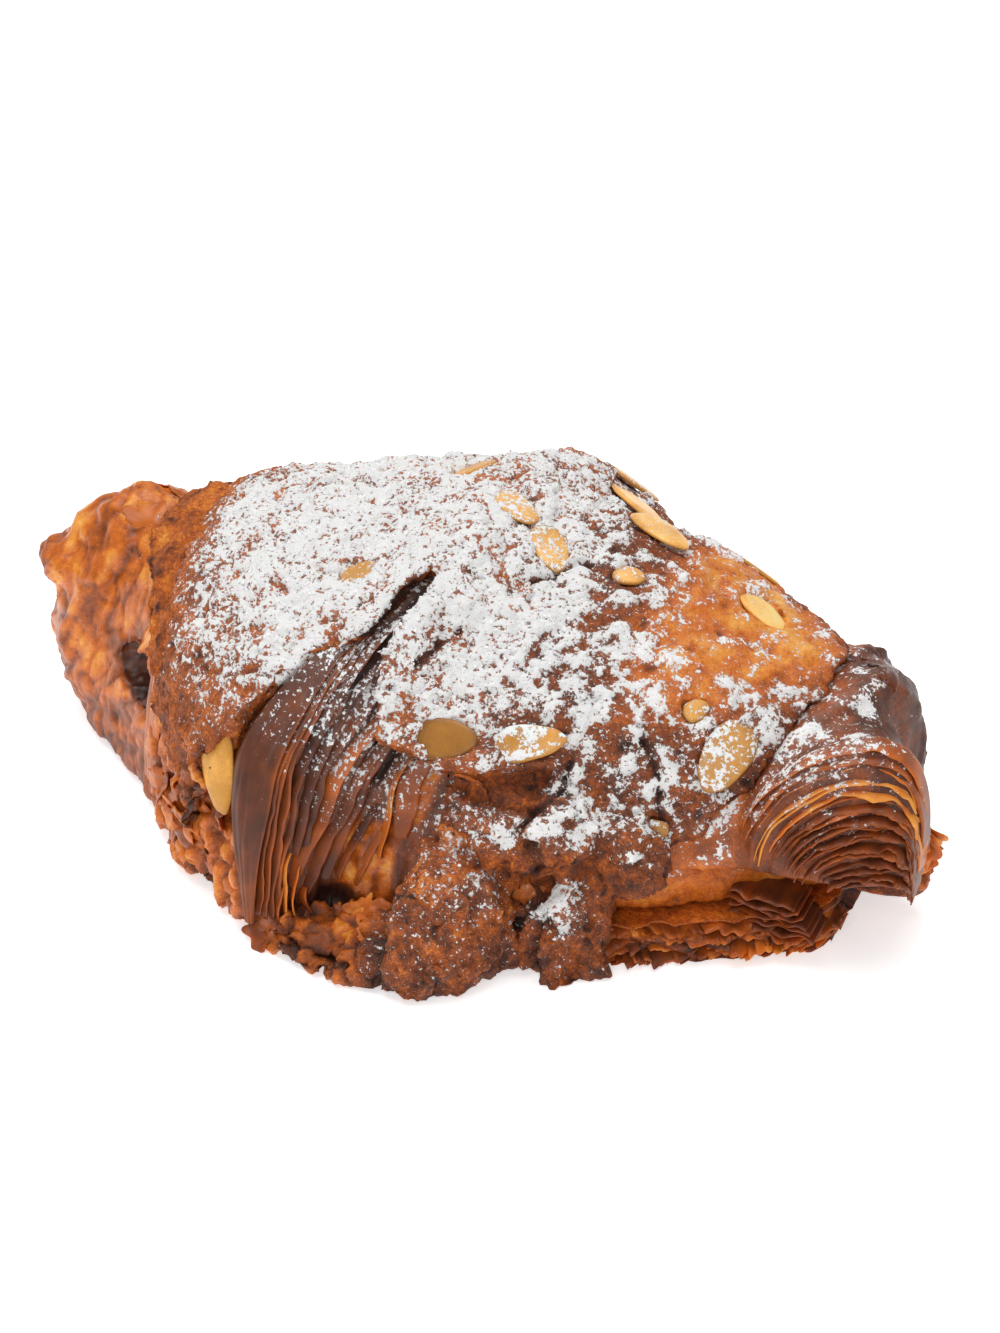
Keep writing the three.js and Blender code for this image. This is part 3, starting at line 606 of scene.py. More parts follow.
# Materials
MIX_FACTOR = 0  # places of a Mix node's sockets: its factor, those for numbers and those for colours
MIX_A, MIX_B, MIX_RESULT = 2, 3, 0
MIX_COLOUR_A, MIX_COLOUR_B, MIX_COLOUR_RESULT = 6, 7, 2
GLOSSY_ROUGH = 0.22
SUGAR_ROUGH = 0.95
SUGAR_EDGE = (0.43, 0.48)  # amount of sugar at which a spot starts to be covered and is covered
SUGAR_LEAST = (0.01, 0.06)  # amount below which no grains lie, fading in
SUGAR_VEIL = 0.12  # thin cover between the grains
SUGAR_DEPTH = 0.14  # height of the cover, in mm
FOOD_GLOW = (1.0, 0.45, 0.2)  # how far red, green and blue light runs under the surface
FOOD_GLOW_SIZE = 0.0012
PLAIN_GLOW = (1.0, 1.0, 1.0)
PLAIN_GLOW_SIZE = 0.0006


def wire(tree, kind, inputs=None, **settings):
    """A node with its settings, values and links."""
    made = tree.nodes.new(kind)
    for name, value in settings.items():
        setattr(made, name, value)
    for name, value in (inputs or {}).items():
        socket = made.inputs[name]
        if isinstance(value, bpy.types.NodeSocket):
            tree.links.new(value, socket)
        else:
            socket.default_value = value
    return made


def group(name, inputs, outputs):
    """An empty shader node group with number inputs and named outputs."""
    tree = bpy.data.node_groups.new(name, "ShaderNodeTree")
    for label, value in inputs.items():
        socket = tree.interface.new_socket(label, in_out="INPUT", socket_type="NodeSocketFloat")
        socket.default_value = value
    for label, kind in outputs.items():
        tree.interface.new_socket(label, in_out="OUTPUT", socket_type=kind)
    return tree, tree.nodes.new("NodeGroupInput"), tree.nodes.new("NodeGroupOutput")


def field(tree, size_mm, detail=2.0, rough_share=0.55):
    """Noise around 0 with features of that size, in the piece's own coordinates."""
    where = wire(tree, "ShaderNodeTexCoord").outputs["Object"]
    made = wire(tree, "ShaderNodeTexNoise", {
        "Vector": where, "Scale": 1000.0 / size_mm, "Detail": detail, "Roughness": rough_share,
    })
    return maths(tree, "SUBTRACT", made.outputs["Fac"], 0.5)


def maths(tree, operation, a, b=0.0, clamp=False):
    """The output of a sum, product or the like of two values or links."""
    made = wire(tree, "ShaderNodeMath", operation=operation, use_clamp=clamp)
    for socket, value in zip(made.inputs, (a, b)):
        if isinstance(value, bpy.types.NodeSocket):
            tree.links.new(value, socket)
        else:
            socket.default_value = value
    return made.outputs[0]


def stored(tree, name):
    """The output that gives a number stored on the mesh."""
    return wire(tree, "ShaderNodeAttribute", attribute_name=name).outputs["Fac"]


def linear(colour):
    """A screen colour of 0 to 255 as light."""
    c = np.array(colour) / 255
    return (*np.where(c <= 0.04045, c / 12.92, ((c + 0.055) / 1.055) ** 2.4), 1.0)


# Colours from the palest to the darkest baking
BAKES = (
    (0.0, (246, 208, 146)), (0.2, (232, 157, 62)), (0.4, (204, 106, 31)), (0.6, (146, 72, 26)),
    (0.8, (96, 50, 30)), (1.0, (52, 28, 20)),
)
ALMOND_BAKES = (
    (0.0, (252, 216, 140)), (0.15, (246, 184, 94)), (0.3, (208, 148, 66)), (0.5, (172, 118, 48)),
    (0.8, (116, 72, 32)),
)


def baked_group(name, stops_of):
    """Colour of food from how far it is baked and any painted shade, mottled by its grain."""
    tree, given, result = group(name, {"Bake": 0.5, "Grain": 0.3}, {"Colour": "NodeSocketColor"})
    coarser = maths(tree, "MULTIPLY", field(tree, 0.9, 4.0, 0.7), 1.5)
    fine = maths(tree, "ADD", coarser, field(tree, 0.35, 2.0))
    mottle = maths(tree, "MULTIPLY", fine, given.outputs["Grain"])
    broad = maths(tree, "MULTIPLY", field(tree, 5.0, 3.0), 0.35)
    bake = maths(tree, "ADD", given.outputs["Bake"], maths(tree, "ADD", broad, mottle), clamp=True)
    ramp = wire(tree, "ShaderNodeValToRGB", {"Fac": bake})
    stops = ramp.color_ramp.elements
    while len(stops) < len(stops_of):
        stops.new(0.5)
    for stop, (at, colour) in zip(stops, stops_of):
        stop.position = at
        stop.color = linear(colour)
    tree.links.new(ramp.outputs["Color"], result.inputs["Colour"])
    return tree


def sugar_group():
    """Where icing sugar covers the surface, from how much lies there."""
    outputs = {"Cover": "NodeSocketFloat", "Height": "NodeSocketFloat"}
    tree, given, result = group("Icing Sugar", {"Sugar": 0.0}, outputs)
    grain = maths(tree, "SUBTRACT", maths(tree, "MULTIPLY", field(tree, 0.8, 4.0, 0.7), 4.2), 0.15)
    amount = maths(tree, "ADD", maths(tree, "MULTIPLY", given.outputs["Sugar"], 1.2), grain)
    cover = wire(tree, "ShaderNodeMapRange", {
        "Value": amount, "From Min": SUGAR_EDGE[0], "From Max": SUGAR_EDGE[1],
    }, interpolation_type="SMOOTHSTEP")
    some = wire(tree, "ShaderNodeMapRange", {
        "Value": given.outputs["Sugar"], "From Min": SUGAR_LEAST[0], "From Max": SUGAR_LEAST[1],
    })
    kept = maths(tree, "MULTIPLY", cover.outputs["Result"], some.outputs["Result"])
    veiled = maths(tree, "MAXIMUM", kept, maths(tree, "MULTIPLY", given.outputs["Sugar"], SUGAR_VEIL))
    tree.links.new(veiled, result.inputs["Cover"])
    tree.links.new(maths(tree, "MULTIPLY", kept, maths(tree, "ADD", amount, 0.4)), result.inputs["Height"])
    return tree


def shared(name, build, *given):
    """A node group that is built once."""
    return bpy.data.node_groups.get(name) or build(*given)


def food_material(name, roughness, grain_mm, grain_depth, soft, coat=0.0, colours=("Baked Colour", BAKES)):
    """Baked food with icing sugar on it."""
    material = bpy.data.materials.new(name)
    material.use_nodes = True
    tree = material.node_tree
    tree.nodes.clear()
    baked = wire(tree, "ShaderNodeGroup", node_tree=shared(colours[0], baked_group, *colours))
    tree.links.new(stored(tree, "bake"), baked.inputs["Bake"])
    tree.links.new(stored(tree, "grain"), baked.inputs["Grain"])
    dusted = wire(tree, "ShaderNodeGroup", node_tree=shared("Icing Sugar", sugar_group))
    tree.links.new(stored(tree, "sugar"), dusted.inputs["Sugar"])
    mixed = wire(tree, "ShaderNodeMix", data_type="RGBA")
    tree.links.new(dusted.outputs["Cover"], mixed.inputs[MIX_FACTOR])
    tree.links.new(baked.outputs["Colour"], mixed.inputs[MIX_COLOUR_A])
    mixed.inputs[MIX_COLOUR_B].default_value = (*bpy.context.scene.croissant.colours.sugar, 1.0)
    polish = wire(tree, "ShaderNodeMapRange", {
        "Value": stored(tree, "gloss"), "To Min": roughness, "To Max": GLOSSY_ROUGH,
    })
    finish = wire(tree, "ShaderNodeMix", {
        MIX_FACTOR: dusted.outputs["Cover"], MIX_A: polish.outputs["Result"], MIX_B: SUGAR_ROUGH,
    })
    deepest = maths(tree, "MULTIPLY", stored(tree, "grain"), grain_depth)
    depth = maths(tree, "MULTIPLY", field(tree, grain_mm, 4.0, 0.65), deepest)
    grain = maths(tree, "ADD", depth, maths(tree, "MULTIPLY", dusted.outputs["Height"], SUGAR_DEPTH))
    bump = wire(tree, "ShaderNodeBump", {"Height": grain, "Distance": MM, "Strength": 1.0})
    shader = wire(tree, "ShaderNodeBsdfPrincipled", {
        "Base Color": mixed.outputs[MIX_COLOUR_RESULT], "Roughness": finish.outputs[MIX_RESULT],
        "Normal": bump.outputs["Normal"], "Subsurface Weight": soft,
        "Subsurface Radius": FOOD_GLOW, "Subsurface Scale": FOOD_GLOW_SIZE,
        "Coat Weight": coat, "Coat Roughness": 0.3, "Specular IOR Level": 0.3,
    })
    wire(tree, "ShaderNodeOutputMaterial", {"Surface": shader.outputs["BSDF"]})
    return material


def plain_material(name, colour, roughness, soft=0.0):
    """One colour all over."""
    material = bpy.data.materials.new(name)
    material.use_nodes = True
    shader = material.node_tree.nodes["Principled BSDF"]
    shader.inputs["Base Color"].default_value = (*colour, 1.0)
    shader.inputs["Roughness"].default_value = roughness
    shader.inputs["Subsurface Weight"].default_value = soft
    shader.inputs["Subsurface Radius"].default_value = PLAIN_GLOW
    shader.inputs["Subsurface Scale"].default_value = PLAIN_GLOW_SIZE
    return material


# Settings
class CroissantSizes(PropertyGroup):
    pastry_pitch: FloatProperty(
        name="Pastry Pitch", description="Spacing of the pastry's surface points",
        default=0.0007, unit="LENGTH", precision=6,
    )
    crust_pitch: FloatProperty(
        name="Crust Pitch", description="Spacing of the crust's surface points",
        default=0.00066, unit="LENGTH", precision=6,
    )
    sheet_thick: FloatProperty(
        name="Sheet Thickness", description="Thickness of a sheet of pastry, in mm", default=0.38,
    )


class CroissantColours(PropertyGroup):
    sugar: FloatVectorProperty(
        name="Sugar", description="Colour of icing sugar", subtype="COLOR", default=(0.95, 0.94, 0.93),
    )
    floor: FloatVectorProperty(
        name="Floor", description="Colour of the floor", subtype="COLOR", default=(0.96, 0.96, 0.96),
    )


class CroissantSugar(PropertyGroup):
    seed: IntProperty(name="Seed", description="Seed of the scattering", default=7)
    density: FloatProperty(
        name="Density", description="Grains on a square metre of sugared crust", default=1.55e6,
    )
    smallest: FloatProperty(
        name="Smallest", description="Radius of the smallest grain",
        default=0.00008, unit="LENGTH", precision=6,
    )
    largest: FloatProperty(
        name="Largest", description="Radius of the largest grain",
        default=0.00034, unit="LENGTH", precision=6,
    )
    flat: FloatProperty(name="Flat", description="Thickness of a grain over its width", default=0.8)


class CroissantCrumbs(PropertyGroup):
    seed: IntProperty(name="Seed", description="Seed of the scattering", default=3)
    density: FloatProperty(
        name="Density", description="Crumbs on a square metre of lumpy crust", default=6.0e5,
    )
    smallest: FloatProperty(
        name="Smallest", description="Radius of the smallest crumb",
        default=0.00025, unit="LENGTH", precision=6,
    )
    largest: FloatProperty(
        name="Largest", description="Radius of the largest crumb",
        default=0.0007, unit="LENGTH", precision=6,
    )
    flat: FloatProperty(name="Flat", description="Thickness of a crumb over its width", default=0.5)


class CroissantStage(PropertyGroup):
    azimuth: FloatProperty(
        name="Azimuth", description="Camera angle round the croissant",
        default=math.radians(21), subtype="ANGLE",
    )
    elevation: FloatProperty(
        name="Elevation", description="Camera angle over the floor",
        default=math.radians(30), subtype="ANGLE",
    )
    distance: FloatProperty(name="Distance", description="Camera to target", default=0.54, unit="LENGTH")
    lens: FloatProperty(name="Lens", description="Focal length in mm", default=85.0)
    sensor: FloatProperty(name="Sensor", description="Width of the camera's sensor in mm", default=36.0)
    target: FloatVectorProperty(
        name="Target", description="Point that the camera looks at",
        default=(0.0005, 0.01632, 0.01984), subtype="TRANSLATION",
    )
    floor_glow: FloatProperty(name="Floor Glow", description="Light that the floor gives off", default=0.52)
    floor_size: FloatProperty(
        name="Floor Size", description="Side of the floor", default=14.0, unit="LENGTH",
    )
    surround: FloatProperty(name="Surround", description="Strength of the light from all round", default=0.42)
    key_place: FloatVectorProperty(
        name="Key Place", description="Place of the light above",
        default=(-0.14, 0.12, 1.12), subtype="TRANSLATION",
    )
    key_size: FloatProperty(
        name="Key Size", description="Side of the light above", default=1.15, unit="LENGTH",
    )
    key_power: FloatProperty(name="Key Power", description="Power of the light above, in watts", default=10.4)
    front_place: FloatVectorProperty(
        name="Front Place", description="Place of the light in front",
        default=(0.2, -0.95, 0.6), subtype="TRANSLATION",
    )
    front_size: FloatProperty(
        name="Front Size", description="Side of the light in front", default=0.5, unit="LENGTH",
    )
    front_power: FloatProperty(
        name="Front Power", description="Power of the light in front, in watts", default=2.6,
    )


class CroissantSettings(PropertyGroup):
    sizes: PointerProperty(type=CroissantSizes)
    colours: PointerProperty(type=CroissantColours)
    sugar: PointerProperty(type=CroissantSugar)
    crumbs: PointerProperty(type=CroissantCrumbs)
    stage: PointerProperty(type=CroissantStage)


class CROISSANT_OT_top(Operator):
    """Upper half of the pastry: left lobe, front slope, body and horn"""

    bl_idname = "croissant.top"
    bl_label = "Upper Pastry"

    def execute(self, context):
        mesh = refined("croissant_top", context.scene.croissant.sizes.pastry_pitch, rounds=14)
        points, normals = points_of(mesh), normals_of(mesh)
        on = self.regions(points)
        form = self.forms(points, on)
        lift = self.relief(points, on, form)
        lift = lerp(lift, np.minimum(lift, -PASTRY_PRESSED), slices_over(points))
        set_points(mesh, points + normals * lift[:, None])
        gloss = (0.7 * on.lobe + 0.6 * on.slope) * smooth(2, 26, points[:, 2]) + 0.6 * on.amber
        bake = self.baking(points, on, form)
        paint(mesh, bake=bake, grain=0.3 - 0.1 * on.lobe, gloss=np.clip(gloss, 0, 1))
        share = clumps(points, smooth(*RIGHT_START, points[:, 0])) * (1 - 0.6 * on.band) * (1 - on.slit)
        sugared(mesh, share * (1 - on.gap) * (1 - 0.3 * on.layers) * (1 - 0.6 * on.slope))
        material = food_material("Pastry", roughness=0.5, grain_mm=0.9, grain_depth=0.3, soft=0.2, coat=0.15)
        mesh.materials.append(material)
        place("pastry_top", mesh, "upper_pastry", ["croissant_top"])
        return {"FINISHED"}

    def regions(self, points):
        """Where the parts of the upper half are: 1 on each, 0 away from it."""
        station, angle = seat(points)
        past = station - RIDGE
        x, y, _ = points.T
        front = fade(*FRONT_END, angle)
        left, _ = curve(BAND_EDGES, angle)
        beyond = smooth(left - 1, left + 1, past)
        on = SimpleNamespace(station=station, angle=angle, past=past)
        on.lobe = fade(*LOBE_END, x)
        on.slope = smooth(*SLOPE_START, station) * (1 - beyond) * fade(*SLOPE_TOP, angle) * (1 - on.lobe)
        on.band = beyond * fade(-3, 0, past) * front
        on.layers = bump_between(-1, LAYERS_WIDTH + 12, 3, past) * front
        on.amber = np.maximum(*(on_roll(patch, past, angle) for patch in AMBER_PATCHES))
        on.gap = on_roll(GAP, past, angle)
        on.valley = on_roll(VALLEY, past, angle)
        on.slit = on_roll(SLIT, past, angle)
        on.hole = hollow(points, HOLE, HOLE_SIZE)
        on.cave = hollow(points, CAVE, CAVE_SIZE, CAVE_TURN)
        on.horn = smooth(*HORN_START, x) * fade(*HORN_BACK, y)
        on.rear = smooth(*REAR_START, x) * (1 - on.horn)
        on.right = smooth(*RIGHT_START, x) * (1 - on.horn) * (1 - on.rear) * (y < 0)
        on.back = smooth(*BACK_START, angle) * (1 - on.lobe)
        return on

    def forms(self, points, on):
        """Folds, wraps and torn layers of the pastry, each as a height of about -1 to 1."""
        form = SimpleNamespace()
        across = points @ WRAP_AXIS + 1.4 * noise(points, 11, 9) + 0.6 * noise(points, 4, 10)
        form.terrace = saw(((across - WRAP_LINE) / WRAP_STEP) % 1, 0.14) - 0.5
        stretched = points @ LOBE_AXES.T
        form.folds = np.abs(noise(stretched, 6.0, 3)) - 0.35
        form.creases = np.abs(noise(stretched, 2.0, 4)) + 0.5 * np.abs(noise(points, 2.4, 18)) - 0.45
        form.lines = fade(0.02, 0.16, np.abs(noise(stretched, 3.2, 23)))
        form.lines += 0.7 * fade(0.02, 0.2, np.abs(noise(points, 4.5, 24)))
        form.grain = noise(stretched, 2.4, 12)
        form.chunk, form.gaps = chunks(points, size=3.2, seed=400)
        form.torn = 0.7 * form.chunk - 0.9 * form.gaps
        form.torn += 0.3 * noise(points, 1.8, 7) + 0.5 * noise(points, 7, 19)
        form.strands = noise(joined(on.past * 1.4, on.angle * 4), 1.5, 22)
        form.grooves = noise(joined(on.past * 1.5, on.angle * 3), 1.2, 8)
        form.layered = noise(joined(on.station * 0.25, on.angle * 30), 2.0, 26)
        turn = on.station + 12 * np.cos(on.angle)
        turn += 4 * noise(points * (1, 0.3, 0.3), 24, 25) + noise(points, 5, 29)
        form.wraps = saw((turn / BACK_WRAP) % 1, 0.9)
        return form

    def relief(self, points, on, form):
        """How far the surface stands out from the solid."""
        lift = 0.3 * rough(points, 5, 1) * (1 - on.band) + 0.05 * noise(points, 3, 2)
        crumpled = 0.4 * form.layered + 0.6 * np.abs(noise(points, 4, 27)) + 0.3 * noise(points, 1.6, 30)
        lift += on.back * (1.5 * form.wraps - 0.8 + crumpled)
        wrinkled = form.folds + 0.2 * form.creases - 0.3 * form.lines + 0.7 * form.terrace
        lift += on.lobe * (wrinkled + 0.9 * fade(14, 26, points[:, 2]))
        lift += on.slope * 1.2 * form.torn + on.valley * 0.5 * form.strands
        lift += on.layers * (0.5 * form.grooves - 0.3) + on.amber * 0.7 * rough(points, 3.0, 16)
        lift += np.minimum(1, 4 * on.cave) * 1.3 * noise(points, 2.6, 28)
        return lift - 2.6 * on.hole - 1.2 * on.cave - 0.8 * on.slit - 1.2 * on.gap

    def baking(self, points, on, form):
        """How far the surface is baked, from 0 to 1, with painted shade in every hollow and dip."""
        x, y, z = points.T
        bake = 0.44 + 0.1 * noise(points, 9, 11)
        # Painted shade on the back: darker where each wrap dips, lighter where it stands out.
        shade = 0.12 * fade(0.0, 0.25, form.wraps) - 0.12 * smooth(0.3, 1.0, form.wraps)
        bake += on.back * (0.1 + shade + 0.2 * form.layered + 0.14 * noise(points, 5, 31))
        # Painted shade on the lobe: darker along its lines and where its folds and wraps sink, lighter where
        # they stand out; it is also darker low down.
        shade = 0.14 * form.lines - 0.16 * np.clip(form.folds + form.creases, -0.5, 0.6) - 0.12 * form.terrace
        bake += on.lobe * (shade - 0.1 + 0.14 * form.grain + 0.12 * fade(8, 22, z))
        # Painted shade on the torn slope: darker in the gaps between chunks, lighter on the chunks that stand
        # out.
        bake += on.slope * (0.02 - 0.13 * form.chunk + 0.2 * form.gaps)
        bake = lerp(bake, 0.8, on.band)
        # Painted shade on the layers: darker where their grooves sink, lighter where they stand out.
        bake = lerp(bake, 0.76 - 0.12 * form.grooves + 0.08 * noise(points, 4, 14), on.layers)
        bake = lerp(bake, 0.7 + 0.3 * form.strands, 0.8 * on.valley)
        bake = lerp(bake, 0.4 + 0.3 * noise(points, 3.0, 17) + 0.2 * form.strands, on.amber)
        streaks = 0.12 * noise(points * (1, 1, 0.3), 2.2, 15) + 0.2 * noise(points, 6, 32)
        bake = lerp(bake, 0.5 + streaks, on.right)
        beyond = x - FAR_SIDE + 0.45 * np.minimum(y + 6, 8) + (1.2 + 3 * on.back) * noise(points, 4, 20)
        far_side = smooth(-2.5, 2.5, beyond)
        # The horn is painted dark, darker on its outer side; on its face behind the nested sheets this is
        # painted shade.
        bake = lerp(bake, lerp(0.68, 0.84, far_side) + 0.14 * noise(points, 3, 21), on.horn)
        bake = lerp(bake, lerp(0.56, 0.9, far_side), on.rear)
        # Darker towards the floor; painted shade in the hole at the ridge's foot, the cave beside the lobe,
        # the slit and the gap.
        bake += 0.2 * fade(0, 6, z) + 0.6 * on.hole + 0.9 * smooth(0.15, 0.7, on.cave)
        return np.clip(bake + 0.4 * on.slit + 0.3 * on.gap, 0, 1)


class CROISSANT_OT_base(Operator):
    """Lower half of the pastry"""

    bl_idname = "croissant.base"
    bl_label = "Lower Pastry"

    def execute(self, context):
        mesh = refined("croissant_base", context.scene.croissant.sizes.pastry_pitch, rounds=3)
        points, normals = points_of(mesh), normals_of(mesh)
        x, y, z = points.T
        steep = smooth(0.2, 0.7, 1 - np.abs(normals[:, 2]))
        flat = points * (1.0, 1.0, 2.6)
        skirt = smooth(*SKIRT_START, x) * (y < 0)
        lift = (1.1 * rough(flat, 4.2, 21) + 0.5 * noise(flat, 1.5, 22) - 0.7 - 1.6 * skirt) * steep
        lift += 0.25 * noise(points, 3, 23) * (z > 0.5)
        set_points(mesh, points + normals * lift[:, None])
        # Painted shade: darker where the surface sinks, lighter where it stands out.
        bake = 0.7 + 0.2 * noise(flat, 4, 24) + 0.1 * noise(flat, 1.6, 25) - 0.12 * np.clip(lift, -1.5, 1)
        bake = lerp(bake, 0.5 + 0.1 * noise(points, 3, 26), skirt * smooth(4.0, 5.5, z))
        paint(mesh, bake=np.clip(bake, 0, 1), grain=0.5)
        material = food_material("Lower Pastry", roughness=0.5, grain_mm=0.9, grain_depth=0.3, soft=0.2)
        mesh.materials.append(material)
        place("pastry_base", mesh, "lower_pastry", ["croissant_base"])
        return {"FINISHED"}


class CROISSANT_OT_cream(Operator):
    """Almond cream between the halves"""

    bl_idname = "croissant.cream"
    bl_label = "Almond Cream"

    def execute(self, context):
        mesh = refined("almond_cream", context.scene.croissant.sizes.pastry_pitch, rounds=4)
        points, normals = points_of(mesh), normals_of(mesh)
        pit = pits(points, size=3.2, seed=31, reach=0.36)
        lift = 0.5 * rough(points, 4, 32) + 0.2 * noise(points, 1.4, 33) - 0.8 * pit
        set_points(mesh, points + normals * lift[:, None])
        # Painted shade: darker in the pits.
        bake = 0.45 + 0.1 * noise(points, 6, 34) + 0.25 * pit
        paint(mesh, bake=np.clip(bake, 0, 1), grain=0.35, gloss=0.3)
        sugared(mesh, 0.6)
        material = food_material("Almond Cream", roughness=0.6, grain_mm=0.6, grain_depth=0.4, soft=0.15)
        mesh.materials.append(material)
        place("cream_layer", mesh, "almond_cream", ["almond_cream"])
        return {"FINISHED"}


class CROISSANT_OT_crust(Operator):
    """Almond cream baked on top, with the lumps that ran down the front"""

    bl_idname = "croissant.crust"
    bl_label = "Almond Crust"

    def execute(self, context):
        mesh = refined("almond_crust", context.scene.croissant.sizes.crust_pitch, rounds=8)
        points, normals = points_of(mesh), normals_of(mesh)
        on = self.regions(points)
        form = self.forms(points)
        sugar = self.sugar(points, normals, on, form)
        form.fine -= (0.9 - 0.3 * on.lumps) * form.pit * (1 - 0.7 * sugar)
        form.fine *= 1 - 0.5 * on.clear
        pressed = slices_over(points)
        lift = self.relief(points, on, form, sugar)
        lift = lerp(lift, np.minimum(lift, -CRUST_PRESSED), pressed)
        sway = np.stack([rough(points, 4.5, 60 + k) for k in range(3)], -1)
        sway *= ((0.55 + 0.5 * on.lumps) * (1 - 0.8 * pressed))[:, None]
        set_points(mesh, points + normals * lift[:, None] + sway)
        paint(
            mesh, bake=self.baking(points, on, form), sugar=sugar, gloss=0.8 * on.caramel + 0.3 * on.clear,
            grain=0.55 - 0.3 * on.caramel - 0.25 * on.clear,
        )
        material = food_material("Almond Crust", roughness=0.62, grain_mm=0.5, grain_depth=0.8, soft=0.1)
        mesh.materials.append(material)
        place("frangipane_crust", mesh, "almond_crust", ["almond_crust"])
        return {"FINISHED"}

    def regions(self, points):
        """Where the parts of the crust are: 1 on each, 0 away from it."""
        station, angle = seat(points)
        past = station - RIDGE
        x, y, z = points.T
        left, _ = curve(BAND_EDGES, angle)
        on = SimpleNamespace()
        on.lumps = fade(*LUMPS_BACK, y) * fade(*LUMPS_TOP, z)
        on.caramel = on.lumps * fade(*CARAMEL_END, x)
        on.torn = on.lumps * bump_between(*TORN_LUMP[1], z) * bump_between(*TORN_LUMP[0], x)
        on.clear = smooth(*CLEAR_START, x) * smooth(*CLEAR_FOOT, z)
        on.rim = fade(*CRUST_RIM, x)
        on.lip = bump_between(*LIP, x) * (y < LIP_FRONT)
        on.under = on.lip * bump_between(*LIP_UNDER, z)
        on.slit = on_roll(CRUST_SLIT, past, angle)
        on.banded = bump_between(0, 12, 0.8, past - left) * (past < 2) * fade(0.8, 0.9, angle)
        on.crack = self.cracks(points, on.lumps)
        return on

    def cracks(self, points, lumps):
        """1 along the cracks, which gape wider in the lumps."""
        plan, wander = points[:, :2], 0.5 * noise(points, 2, 57)
        found = np.zeros(len(points))
        for line in CRUST_CRACKS:
            line = np.array(line, float)
            for a, b in zip(line[:-1], line[1:]):
                share = np.clip(((plan - a) @ (b - a)) / ((b - a) @ (b - a)), 0, 1)
                off = np.linalg.norm(plan - a - share[:, None] * (b - a), axis=-1) + wander
                found = np.maximum(found, fade(0.1, 0.6 + 1.2 * lumps, off))
        return found

    def forms(self, points):
        """Puffs of sugar, pits, chunks and fine texture, each as a height or depth of about 1."""
        form = SimpleNamespace()
        form.puff = np.abs(noise(points, 2.4, 69))
        form.pit = pits(points, size=2.6, seed=51, reach=0.38)
        form.fine = 0.3 * rough(points, 1.7, 53) + 0.2 * noise(points, 0.9, 61)
        form.chunk, form.gaps = chunks(points, size=2.8, seed=420)
        form.ragged = 0.6 * form.chunk - 0.9 * form.gaps
        form.ragged += 0.4 * noise(points, 1.6, 64) + 0.4 * noise(points, 6, 63)
        return form

    def sugar(self, points, normals, on, form):
        """How much icing sugar lies on the crust, from 0 to 1."""
        x = points[:, 0]
        sugar = sugar_at(points, normals) * (1 - on.slit) * (1 - 0.9 * on.crack) * (1 - on.under)
        least = 0.13 * on.lumps * (1 - on.caramel) * smooth(-0.3, 0.4, normals[:, 2])
        sugar = np.maximum(sugar * (1 - 0.35 * on.lumps * (x < 22)), least)
        sugar *= clumps(points, smooth(*PATCHY_START, x) * fade(0.5, 0.85, sugar))
        return sugar * (1 - 0.35 * fade(0.0, 0.16, form.puff))

    def relief(self, points, on, form, sugar):
        """How far the surface stands out from the solid."""
        z = points[:, 2]
        lift = 0.5 * rough(points, 5.5, 52) + form.fine
        lift += on.lumps * (1.3 * noise(points, 5.0, 62) + 0.25 * noise(points, 1.1, 67))
        lift += smooth(0.3, 0.75, sugar) * (0.45 + 0.7 * form.puff)
        lift += on.lip * 1.2 * bump_between(*LIP_EDGE, z) - 1.7 * on.under
        lift += on.caramel * (1.4 * form.ragged - 0.2) + on.torn * (0.7 * form.ragged + 0.3)
        return lift - 2.4 * on.rim - on.slit - 3.4 * on.banded - on.crack * (0.7 + 2.6 * on.lumps)

    def baking(self, points, on, form):
        """How far the surface is baked, from 0 to 1, with painted shade in its pits, cracks and dips."""
        x, _, z = points.T
        bake = 0.56 + 0.12 * smooth(5, 28, x) + 0.09 * noise(points, 8, 58)
        bake = lerp(bake, 0.31 + 0.16 * noise(points, 6, 65) + 0.08 * noise(points, 2.2, 71), on.clear)
        bake = lerp(bake, 0.65 + 0.16 * noise(points, 5, 59) + 0.14 * noise(points, 1.8, 68), on.lumps)
        # Painted shade on the caramel: darker in the gaps between chunks, lighter on the chunks that stand
        # out.
        bake = lerp(bake, 0.5 - 0.22 * form.chunk + 0.3 * form.gaps, on.caramel) - 0.14 * on.torn
        bake = lerp(bake, 0.47 + 0.2 * noise(points, 3.5, 66), on.rim)
        # Darker towards the floor; painted shade where the fine texture and its pits sink, in the cracks and
        # in the slit, and lighter where the texture stands out.
        bake += 0.1 * fade(0, 5, z) - 0.22 * np.clip(form.fine, -0.8, 0.8)
        return np.clip(bake + 0.3 * on.crack + 0.4 * on.slit + 0.3 * form.pit, 0, 1)


